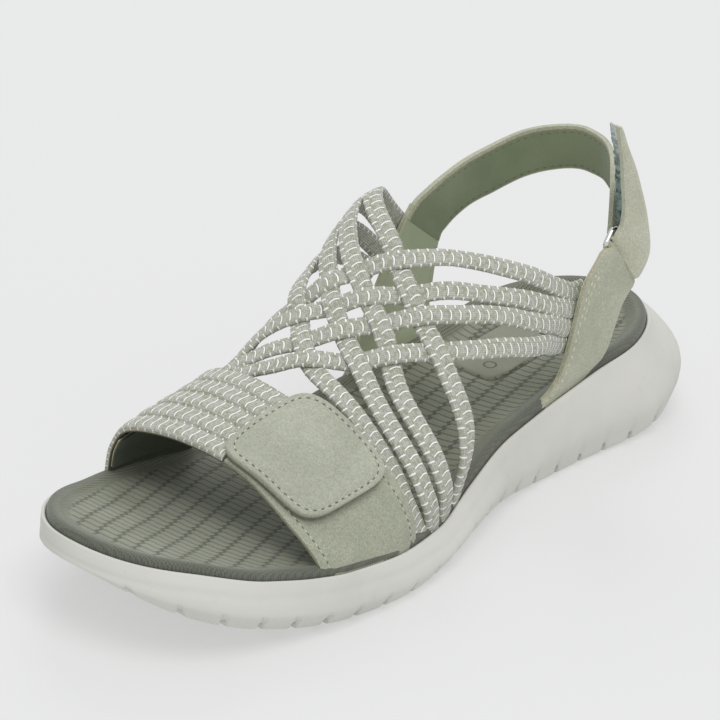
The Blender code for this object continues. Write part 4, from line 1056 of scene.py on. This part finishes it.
def make_band(name, line):
    """Flat oval band along its centre line, with its floats in relief."""
    kind = name[0]
    lean = -1 if kind == "a" else 1
    total = line["run"][-1]
    coarse = np.linspace(0, total, int(total / 1.2) + 1)
    fine = resample(coarse, line["run"], line["fine"])
    outs = np.array([form_normal(y, arch) for y, arch, _ in fine])
    lifts = np.array([level + weave_level(line, r) for r, level in zip(coarse, fine[:, 2])])
    centres = np.array([form(y, arch) for y, arch, _ in fine]) + outs * lifts[:, None]
    if name in BAND_FALL:
        start, fall = BAND_FALL[name]
        centres[:, 2] -= fall * np.maximum(0.0, fine[:, 0] - start)
    for _ in range(3):
        centres[1:-1] = 0.25 * centres[:-2] + 0.5 * centres[1:-1] + 0.25 * centres[2:]
    step = TICK_PITCH / 12
    runs = np.linspace(0, total, int(total / step) + 1)
    centre, out = resample(runs, coarse, centres), resample(runs, coarse, outs)
    ahead = np.gradient(centre, axis=0)
    kernel = np.ones(9) / 9
    padded = np.pad(ahead, ((4, 4), (0, 0)), mode="edge")
    ahead = np.stack([np.convolve(padded[:, k], kernel, "valid") for k in range(3)], axis=1)
    ahead /= np.linalg.norm(ahead, axis=1)[:, None]
    across = np.cross(ahead, out)
    across /= np.linalg.norm(across, axis=1)[:, None]
    up = np.cross(across, ahead)
    sides = 26
    turns = -math.pi / 2 + 2 * math.pi * np.arange(sides + 1) / sides
    c, d = np.cos(turns), np.sin(turns)
    wide = np.sign(c) * np.abs(c) ** 0.62
    high = np.sign(d) * np.abs(d) ** 0.8
    share = np.where(d < 0, 2 - np.abs(wide), np.abs(wide))
    share = share * np.where(np.arange(sides + 1) <= sides // 2, 1, -1)
    phase = lean * runs / TICK_PITCH
    grow = 0.12 * float_height(phase[:, None], share[None, :-1], kind)
    half = ELASTIC_WIDTH[kind] / 2
    verts = (centre[:, None] + across[:, None] * (wide[None, :-1] * (half + grow))[..., None]
             + up[:, None] * (high[None, :-1] * (ELASTIC_THICK / 2 + grow))[..., None])
    m = len(runs)
    faces, uvs = [], []
    for k in range(m - 1):
        faces += ring_faces(k * sides, (k + 1) * sides, sides)
        for i in range(sides):
            uvs += [(phase[k], share[i]), (phase[k], share[i + 1]), (phase[k + 1], share[i + 1]),
                    (phase[k + 1], share[i])]
    for cap, order in ((0, -1), (m - 1, 1)):
        ring = [cap * sides + i for i in range(sides)][::order]
        faces.append(tuple(ring))
        uvs += [(phase[cap], 0.0)] * sides
    piece(f"elastic_{name}", verts.reshape(-1, 3), faces, [ELASTICS[kind]], "weave",
          uvs=uvs, sharp=70)


def form_rows(edges, arches, shares, thick):
    front = Table("arch station", *edges["front"])
    rear = Table("arch station", *edges["rear"])
    rows, normals = [], []
    for arch in arches:
        y0, y1 = front.get("station", arch) * LENGTH, rear.get("station", arch) * LENGTH
        ys = [y0 + (y1 - y0) * f for f in shares]
        rows.append([form(y, arch, thick) for y in ys])
        normals.append([form_normal(y, arch) for y in ys])
    return np.array(rows), np.array(normals)


def refine(rows, steps):
    """Linear refinement of a grid along its first axis into even steps."""
    place = np.linspace(0, len(rows) - 1, steps)
    low = np.minimum(place.astype(int), len(rows) - 2)
    f = (place - low)[:, None, None]
    return rows[low] * (1 - f) + rows[low + 1] * f, place


def make_toe_band():
    gap = CLEARANCE / LENGTH * 100
    arches = np.concatenate([np.linspace(47.5 + gap, 100, 60), (101.2, 102.4, 103.6, 104.8)])
    strip = np.array([0.0, 0.04, 0.09, 0.15, 0.26, 0.38, 0.5, 0.62, 0.74, 0.85, 0.91, 0.96, 1.0])
    shares = np.concatenate([(k + strip[:-1]) / TOE_STRIPS for k in range(TOE_STRIPS)] + [[1.0]])
    coarse, coarse_normals = form_rows(TOE_BAND, arches, shares, ELASTIC_THICK)
    length = run_along(coarse[:, len(shares) // 2])
    steps = int(length[-1] / (TICK_PITCH / 6))
    rows, place = refine(coarse, steps)
    normals, _ = refine(coarse_normals, steps)
    normals /= np.linalg.norm(normals, axis=2)[..., None]
    phase = np.interp(place, np.arange(len(length)), length) / TICK_PITCH
    local = shares * TOE_STRIPS
    local = 2 * (local - np.minimum(np.floor(local + 1e-9), TOE_STRIPS - 1)) - 1
    crown = 1 - np.abs(local) ** 4
    crown[-1] = 0.45
    crown[0] = 0.45
    bow = float_height(phase[:, None], local[None], "toe")
    outer = ELASTIC_THICK / 2 - 1.15 * (1 - crown)[None] + 0.10 * bow

    def uv(i, j):
        k = min(int(shares[j] * TOE_STRIPS + 1e-6), TOE_STRIPS - 1)
        v0, v1 = (2 * (shares[t] * TOE_STRIPS - k) - 1 for t in (j, j + 1))
        return (phase[i], phase[i + 1]), (v0, v1)

    # The toe band's inner face uses the darker lining, which is painted shade.
    layered("toe_elastic", rows, normals, (outer, -ELASTIC_THICK / 2), ((0.6, 0), (0.15, 1), (0.25, 2)),
            [ELASTICS["toe"], RAW, SHADED_LINING], "toe_band", uv)


# Leather straps and tab


def make_base_strap():
    arches = np.concatenate([[-4.8, -3.2, -1.6], np.linspace(0, 47, 44)])
    shares = np.linspace(0, 1, 30)
    rows, normals = form_rows(BASE_STRAP, arches, shares, LEATHER_THICK)
    half = LEATHER_THICK / 2
    edge = np.minimum(shares, 1 - shares) * 40
    soft = 0.35 * np.exp(-edge / 1.0) + 0.16 * np.exp(-((edge - 3.0) / 0.6) ** 2)
    # The base strap's darker leather is painted shade.
    layered("base_leather", rows, normals, (half - soft, -half), ((0.55, 0), (0.2, 1), (0.25, 2)),
            [SHADED_BASE_LEATHER, RAW, LINING_CLOTH], "base_strap", bevel=0.25)
    surface = rows + normals * half
    # The dark thread rows stand for painted shade in the needle holes between the pale stitches.
    for name, share in (("base_stitch_front", 0.072), ("base_stitch_rear", 0.93)):
        place = share * (len(shares) - 1)
        line, ups = column_of(surface[4:], place), normals[4:, int(place)]
        stitches(name, line, ups, "base", HOLE_SHADE_AND_DARK_THREAD, 0.16)
        stitches(f"{name}_pale", line, ups, "base_pale", PALE_THREAD, 0.16, 0.5)


def tab_place(u, v, corner):
    f, g = (1 + u) / 2, (1 + v) / 2
    inner = corner["inner_rear"] * (1 - f) + corner["inner_front"] * f
    outer = corner["outer_rear"] * (1 - f) + corner["outer_front"] * f
    station, arch = inner * (1 - g) + outer * g
    y = station * LENGTH
    return form(y, arch, LEATHER_THICK), form_normal(y, arch), TAB_FLARE * max(g, 0.0) ** 3


def tab_ring(corner, ring, turns):
    made = []
    for k in range(turns):
        turn = 2 * math.pi * k / turns
        c, s = math.cos(turn), math.sin(turn)
        round_off = (abs(c) ** TAB_SQUARENESS + abs(s) ** TAB_SQUARENESS) ** (-1 / TAB_SQUARENESS)
        made.append(tab_place(c * round_off * ring, s * round_off * ring, corner))
    return made


def make_tab():
    corner = {k: np.array(v) for k, v in TAB.items()}
    low = LEATHER_THICK / 2 + CLEARANCE + 0.1
    turns = 120
    rings = (0.12, 0.28, 0.45, 0.62, 0.76, 0.85, 0.885, 0.90, 0.915, 0.95, 0.975, 0.99, 1.0)
    dips = (0.0, 0.0, 0.0, 0.0, 0.0, 0.03, 0.16, 0.24, 0.16, 0.03, 0.12, 0.3, 0.62)
    point, out, flare = tab_place(0, 0, corner)
    faces, slots = [], []
    circles = [tab_ring(corner, ring, turns) for ring in rings]
    top = [point + out * (low + TAB_THICK + flare)]
    for circle, dip in zip(circles, dips):
        top += [p + o * (low + TAB_THICK + f - dip) for p, o, f in circle]
    rim = circles[-1]
    side = [[p + o * (low + f + TAB_THICK * share) for p, o, f in rim] for share in (0.45, 0.32, 0.05)]
    bottom = [point + out * (low + flare)]
    for circle in circles[:-1:3]:
        bottom += [p + o * (low + f) for p, o, f in circle]
    verts = top + [v for ring in side for v in ring] + bottom

    def fan(base, rows, flip, slot):
        for k in range(turns):
            j = (k + 1) % turns
            made = [(base, base + 1 + k, base + 1 + j)]
            for r in range(rows - 1):
                a, b = base + 1 + r * turns, base + 1 + (r + 1) * turns
                made.append((a + k, b + k, b + j, a + j))
            faces.extend(f[::-1] if flip else f for f in made)
            slots.extend([slot] * len(made))

    fan(0, len(rings), False, 0)
    first = 1 + (len(rings) - 1) * turns
    bottom_base = len(top) + 3 * turns
    rows_below = len(circles[:-1:3])
    fan(bottom_base, rows_below, True, 2)
    levels = [first] + [len(top) + k * turns for k in range(3)]
    levels.append(bottom_base + 1 + (rows_below - 1) * turns)
    for a, b, slot in zip(levels[:-1], levels[1:], (0, 1, 2, 2)):
        for k in range(turns):
            j = (k + 1) % turns
            faces.append((a + k, b + k, b + j, a + j))
            slots.append(slot)
    piece("tab_leather", verts, faces, [LEATHER, RAW, LINING_CLOTH], "tab", slots, sharp=55)
    # The dark thread row stands for painted shade in the needle holes between the pale stitches.
    line = tab_ring(corner, 0.90, 160)
    line.append(line[0])
    path = [p + o * (low + TAB_THICK + f - 0.12) for p, o, f in line]
    ups = [o for _, o, _ in line]
    stitches("tab_stitch", path, ups, "tab", HOLE_SHADE_AND_DARK_THREAD, 0.02)
    stitches("tab_stitch_pale", path, ups, "tab_pale", PALE_THREAD, 0.04, 0.5)


def make_lining():
    edges = {"front": ((0, LINING["front"]), (100, LINING["front"])),
             "rear": ((0, LINING["rear"]), (100, LINING["rear"]))}
    arches = np.linspace(LINING["high"], LINING["low"], 24)
    rows, normals = form_rows(edges, arches, np.linspace(0, 1, 24), ELASTIC_THICK)
    top = -ELASTIC_THICK / 2 - CLEARANCE
    # The vamp lining's darker cloth is painted shade under the weave.
    layered("inner_lining", rows, normals, (top, top - LINING_THICK), ((0.4, 1), (0.6, 0)),
            [SHADED_LINING, RAW, SHADED_LINING], "vamp_lining", bevel=0.2)


def heel_spot(station, reach, lift):
    y = station * LENGTH
    return np.array([reach * HEEL_HALF, y, rim_height(y) + lift * INSTEP_RISE])


def quarter_line(table, columns, row, drop=0.0, inwards=0.0):
    side = 1 if table.rows[0, 5] > 0 else -1
    _, fs, fl, rs, rl, reach = table.row(row)
    made = []
    for f in columns:
        station = fs + (rs - fs) * f
        y = station * LENGTH
        foot = rim_middle(y) + side * (rim_half(y) - LIP - CLEARANCE - QUARTER_THICK / 2)
        spot = heel_spot(station, reach, fl + (rl - fl) * f)
        spot[0] = foot + (spot[0] - foot) * min(1.0, row) - side * inwards
        spot[2] -= drop
        made.append(spot)
    return made


RING_ALONG = np.array([0.0, math.sin(RING_LEAN), -math.cos(RING_LEAN)])
RING_UP = np.array([-math.sin(RING_TILT), math.cos(RING_TILT) * math.cos(RING_LEAN),
                    math.cos(RING_TILT) * math.sin(RING_LEAN)])
RING_OUT = np.cross(RING_ALONG, RING_UP)
RING_OUT *= math.copysign(1.0, RING_OUT[0])


def ring_point(along, up, out):
    centre = heel_spot(RING_CENTRE["station"], RING_CENTRE["reach"], RING_CENTRE["lift"])
    return centre + RING_ALONG * along + RING_UP * up + RING_OUT * out


def bar_wrap(up, radius, width, turns, columns, trim=0.0):
    rows = []
    for turn in turns:
        cut = trim * max(0.0, -math.cos(turn))
        rows.append([ring_point(width * (cut + (1 - cut) * f - 0.5), up + radius * math.sin(turn),
                                radius * math.cos(turn)) for f in columns])
    return rows


def smooth_rows(lines, step=1.6):
    """Even, smooth rows through control rows, by their mean length."""
    lines = np.array(lines)
    middle = lines.shape[1] // 2
    count = int(run_along(lines[:, middle])[-1] / step)
    fine = spline(lines.reshape(len(lines), -1), 16 * len(lines))
    run = run_along(fine.reshape(len(fine), -1, 3)[:, middle])
    at = np.linspace(0, run[-1], count)
    return resample(at, run, fine).reshape(count, -1, 3), at


def pillow(columns, width, roll=1.3, drop=0.4):
    """Fall of the surface towards the two long edges."""
    edge = np.minimum(columns, 1 - columns) * width
    return drop * np.exp(-(edge / roll) ** 1.5)


def make_outer_quarter():
    columns = np.linspace(0, 1, 18)
    lines = [quarter_line(OUTER_QUARTER, columns, 0, drop) for drop in (TUCK, TUCK / 2)]
    lines += [quarter_line(OUTER_QUARTER, columns, row) for row in np.linspace(0, 6, 14)]
    radius = RING_WIRE / 2 + CLEARANCE + QUARTER_THICK / 2
    low_bar = -(RING_DEPTH - RING_WIRE) / 2
    width = RING_LENGTH - 2 * RING_WIRE - 7 * CLEARANCE
    over = bar_wrap(low_bar, radius, width, np.radians((0, 30, 60, 90, 120, 150, 180)), columns, trim=0.25)
    reach = RING_ALONG * 2.0
    lines += [[spot - reach * (1 - f) for spot, f in zip(line, columns)] for line in over]
    for row in (5.4, 4.9):
        turned_in = QUARTER_THICK + 2 * CLEARANCE
        lines.append(quarter_line(OUTER_QUARTER, 0.25 + 0.75 * columns, row, 0.0, turned_in))
    rows, run = smooth_rows(lines)
    normals = ribbon_normals(rows)
    half = QUARTER_THICK / 2
    fall = pillow(columns, 24)
    layered("outer_quarter_leather", rows, normals, (half - fall, -half + 0.3 * fall),
            ((0.45, 0), (0.3, 1), (0.25, 2)), [STRAP_LEATHER, RAW, LIT_QUARTER_LINING],
            "quarter_outer")
    surface = rows + normals * half
    foot = int(np.searchsorted(run, TUCK + 2))
    top = int(np.searchsorted(run, run[-1] * 0.70))
    for name, column, start in (("quarter_stitch_a", 1.3, foot), ("quarter_stitch_b", 2.6, foot + 14)):
        path, ups = column_of(surface[start:top], column), normals[start:top, int(column)]
        stitches(name, path, ups, "quarter", TAN_THREAD, 0.04)
    fall_rows = np.linspace(top - 1, top - 9, 12)
    path, ups = [], []
    for t, r in enumerate(fall_rows):
        column, q = 2.4 + (len(columns) - 5.4) * t / (len(fall_rows) - 1), int(r)
        path.append(column_of(surface[q:q + 1], column)[0])
        ups.append(normals[q, int(column)])
    stitches("quarter_stitch_top", path, ups, "quarter_top", TAN_THREAD, 0.1)


def make_inner_quarter():
    columns = np.linspace(0, 1, 20)
    lines = [quarter_line(INNER_QUARTER, columns, 0, drop) for drop in (TUCK, TUCK / 2)]
    for row in np.linspace(0, 5, 14):
        lines.append(quarter_line(INNER_QUARTER, columns, row))
    rows, run = smooth_rows(lines)
    normals = -ribbon_normals(rows)
    normals *= -1 if normals[len(rows) // 2, 10, 0] > 0 else 1
    half = QUARTER_THICK / 2
    layered("inner_quarter_leather", rows, normals, (half, -half), ((0.5, 0), (0.2, 1), (0.3, 2)),
            [STRAP_LEATHER, RAW, LIT_QUARTER_LINING], "quarter_inner", bevel=0.25)
    start = int(np.searchsorted(run, TUCK + 2))
    for name, share in (("inner_stitch_front", 0.07), ("inner_stitch_rear", 0.93)):
        place = share * (len(columns) - 1)
        line, ups = column_of(rows[start:], place), normals[start:, int(place)]
        for side, sign, yarn in (("out", 1, TAN_THREAD), ("in", -1, SAGE_THREAD)):
            stitches(f"{name}_{side}", line + ups * sign * half, ups * sign, "strap", yarn, 0.12)


def strap_lines(columns, steps):
    lines = []
    for row in np.linspace(0, HEEL_STRAP.rows[-1, 0], steps):
        _, us, ur, ul, ls, lr, ll = HEEL_STRAP.row(row)
        up, low = heel_spot(us, ur, ul), heel_spot(ls, lr, ll)
        lines.append([up + (low - up) * f for f in columns])
    return lines


def make_heel_strap():
    rims = (0.0, 0.03, 0.06, 0.08)
    columns = np.concatenate([rims, np.linspace(0.12, 0.94, 13), (0.975, 1.0)])
    lines = [quarter_line(INNER_QUARTER, columns, row, 0.0, 0.1) for row in (4.25, 4.6)]
    lines += strap_lines(columns, 21)
    radius = RING_WIRE / 2 + CLEARANCE + HEEL_STRAP_THICK / 2
    high_bar = (RING_DEPTH - RING_WIRE) / 2
    width = RING_LENGTH - 2 * RING_WIRE - 7 * CLEARANCE
    lines += bar_wrap(high_bar, radius, width, np.radians((180, 225, 270, 315)), columns)
    rows, run = smooth_rows(lines, 1.5)
    normals = -ribbon_normals(rows)
    half = HEEL_STRAP_THICK / 2
    fall = pillow(columns, 18, 1.2, 0.45)
    inside = [0, 0, 1] + [2] * (len(columns) - 5) + [0, 0]
    layered("heel_strap_leather", rows, normals, (half - fall, -half + 0.35 * fall),
            ((0.5, 0), (0.5, 0)), [STRAP_LEATHER, RAW, LIT_STRAP_LINING],
            "heel_strap", inside=inside)
    stop = int(np.searchsorted(run, run[-1] * 0.88))
    for name, column in (("strap_stitch_upper", 4.4), ("strap_stitch_lower", len(columns) - 3.4)):
        line, up = column_of(rows[7:stop], column), normals[7:stop, int(column)]
        stitches(f"{name}_out", line + up * half, up, "strap", SAGE_THREAD, 0.12)
        stitches(f"{name}_in", line - up * half, -up, "strap_inside", HOLE_SHADE_AND_DARK_THREAD, 0.12)


def end_rows(columns, first=0, last=None):
    """Smooth rows of the free end, by its front and rear edges."""
    rows = FREE_END[first:last]
    lines = [[np.array(front) * (1 - f) + np.array(rear) * f for f in columns] for front, rear in rows]
    return smooth_rows(lines, 0.9)[0]


def make_free_end():
    columns = np.linspace(0, 1, 16)
    rows = end_rows(columns)
    normals = ribbon_normals(rows)
    half = HEEL_STRAP_THICK / 2
    width = np.linalg.norm(rows[:, -1] - rows[:, 0], axis=1)[:, None]
    edge = np.minimum(columns, 1 - columns)[None] * width
    fall = 0.5 * np.exp(-(edge / 1.2) ** 1.5)
    # Both faces use the free end's lighter leather, which is painted light.
    layered("free_end_leather", rows, normals, (half - fall, -half + 0.3 * fall), ((0.7, 0), (0.3, 0)),
            [LIT_FREE_LEATHER, LIT_FREE_LEATHER], "heel_strap")


def make_hook_tape():
    columns = np.linspace(0.02, 0.90, 26)
    rows = end_rows(columns, first=3)
    normals = ribbon_normals(rows)
    low = HEEL_STRAP_THICK / 2 - 0.1
    rough = rng.uniform(-0.3, 0.3, rows.shape[:2])
    layered("hook_tape", rows, normals, (-low, -low - HOOK_THICK - rough), ((0.34, 0), (0.33, 0), (0.33, 0)),
            [HOOKS], "hook_patch")


def make_ring():
    long, deep = RING_LENGTH - RING_WIRE, RING_DEPTH - RING_WIRE
    curve = bpy.data.curves.new("ring_wire", "CURVE")
    curve.dimensions = "3D"
    curve.bevel_depth = RING_WIRE / 2 * MM
    curve.bevel_resolution = 6
    points = []
    for quarter in range(4):
        side_a = 1 if quarter in (0, 3) else -1
        side_b = 1 if quarter in (0, 1) else -1
        for step in range(9):
            turn = math.pi / 2 * (quarter + step / 8)
            points.append(ring_point(side_a * (long / 2 - RING_CORNER) + RING_CORNER * math.cos(turn),
                                     side_b * (deep / 2 - RING_CORNER) + RING_CORNER * math.sin(turn), 0.0))
    line = curve.splines.new("POLY")
    line.points.add(len(points) - 1)
    for knot, spot in zip(line.points, points):
        knot.co = (*((spot + SHIFT) * MM), 1.0)
    line.use_cyclic_u = True
    line.use_smooth = True
    ring = place_object("ring_wire", curve)
    curve.materials.append(METAL)
    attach(ring, "root")
    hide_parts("ring")


# Camera, lights and floor

VIEW = {"azimuth": 39.32, "elevation": 26.99, "roll": 3.54, "distance": 1049.0, "focal": 3374.9,
        "target": (-8.57, -4.16, 45.0)}


def make_camera():
    azimuth, elevation, roll = (math.radians(VIEW[k]) for k in ("azimuth", "elevation", "roll"))
    back = np.array([math.sin(azimuth) * math.cos(elevation), -math.cos(azimuth) * math.cos(elevation),
                     math.sin(elevation)])
    right = np.array([math.cos(azimuth), math.sin(azimuth), 0.0])
    up = np.cross(back, right)
    turned_right = right * math.cos(roll) + up * math.sin(roll)
    turned_up = -right * math.sin(roll) + up * math.cos(roll)
    data = bpy.data.cameras.new("camera")
    data.sensor_width = 36.0
    data.lens = VIEW["focal"] * 36.0 / 720
    data.clip_start, data.clip_end = 0.05, 20.0
    camera = place_object("camera", data)
    place = (np.array(VIEW["target"]) + VIEW["distance"] * back + SHIFT) * MM
    aim(camera, turned_right, turned_up, back, place)
    bpy.context.scene.camera = camera


def area_light(name, place, target, size, power, colour=(1.0, 1.0, 1.0)):
    data = bpy.data.lights.new(name, "AREA")
    data.shape = "DISK"
    data.size = size
    data.energy = power
    data.color = colour
    place, target = np.array(place, float), np.array(target, float)
    back = (place - target) / np.linalg.norm(place - target)
    right = np.cross((0.0, 0.0, 1.0), back)
    right /= np.linalg.norm(right)
    aim(place_object(name, data), right, np.cross(back, right), back, place)


def make_stage():
    mesh = bpy.data.meshes.new("floor")
    mesh.from_pydata([(-8, -8, 0), (8, -8, 0), (8, 8, 0), (-8, 8, 0)], [], [(0, 1, 2, 3)])
    g = Graph("pale_floor", (0.34, 0.34, 0.34), 0.9, specular=0.1)
    g.colour(g.mix(g.noise(3, 2), (0.338, 0.338, 0.338), (0.342, 0.342, 0.342)))
    g.shader.inputs["Emission Color"].default_value = (1.0, 1.0, 1.0, 1.0)
    g.shader.inputs["Emission Strength"].default_value = 0.44
    mesh.materials.append(g.material)
    place_object("floor", mesh)
    world = bpy.data.worlds.new("studio")
    world.use_nodes = True
    sky = world.node_tree.nodes["Background"]
    sky.inputs["Color"].default_value = (0.97, 0.985, 1.0, 1.0)
    sky.inputs["Strength"].default_value = 0.70
    bpy.context.scene.world = world
    bpy.context.scene.view_settings.view_transform = "Standard"
    bpy.context.scene.view_settings.look = "None"
    area_light("key", (0.55, -0.35, 1.6), (0.0, 0.0, 0.05), 1.1, 11.0, (1.0, 0.99, 0.97))
    area_light("rim", (-0.9, 0.9, 1.1), (0.0, 0.0, 0.05), 0.8, 5.0)


make_camera()
make_stage()
make_sole()
make_footbed()
band_lines = {name: band_line(path) for name, path in {**FRONT_BANDS, **REAR_BANDS}.items()}
cross_levels(band_lines)
for band_name, line in band_lines.items():
    make_band(band_name, line)
make_toe_band()
make_base_strap()
make_tab()
make_lining()
make_outer_quarter()
make_inner_quarter()
make_heel_strap()
make_free_end()
make_hook_tape()
make_ring()

bpy.context.view_layer.update()
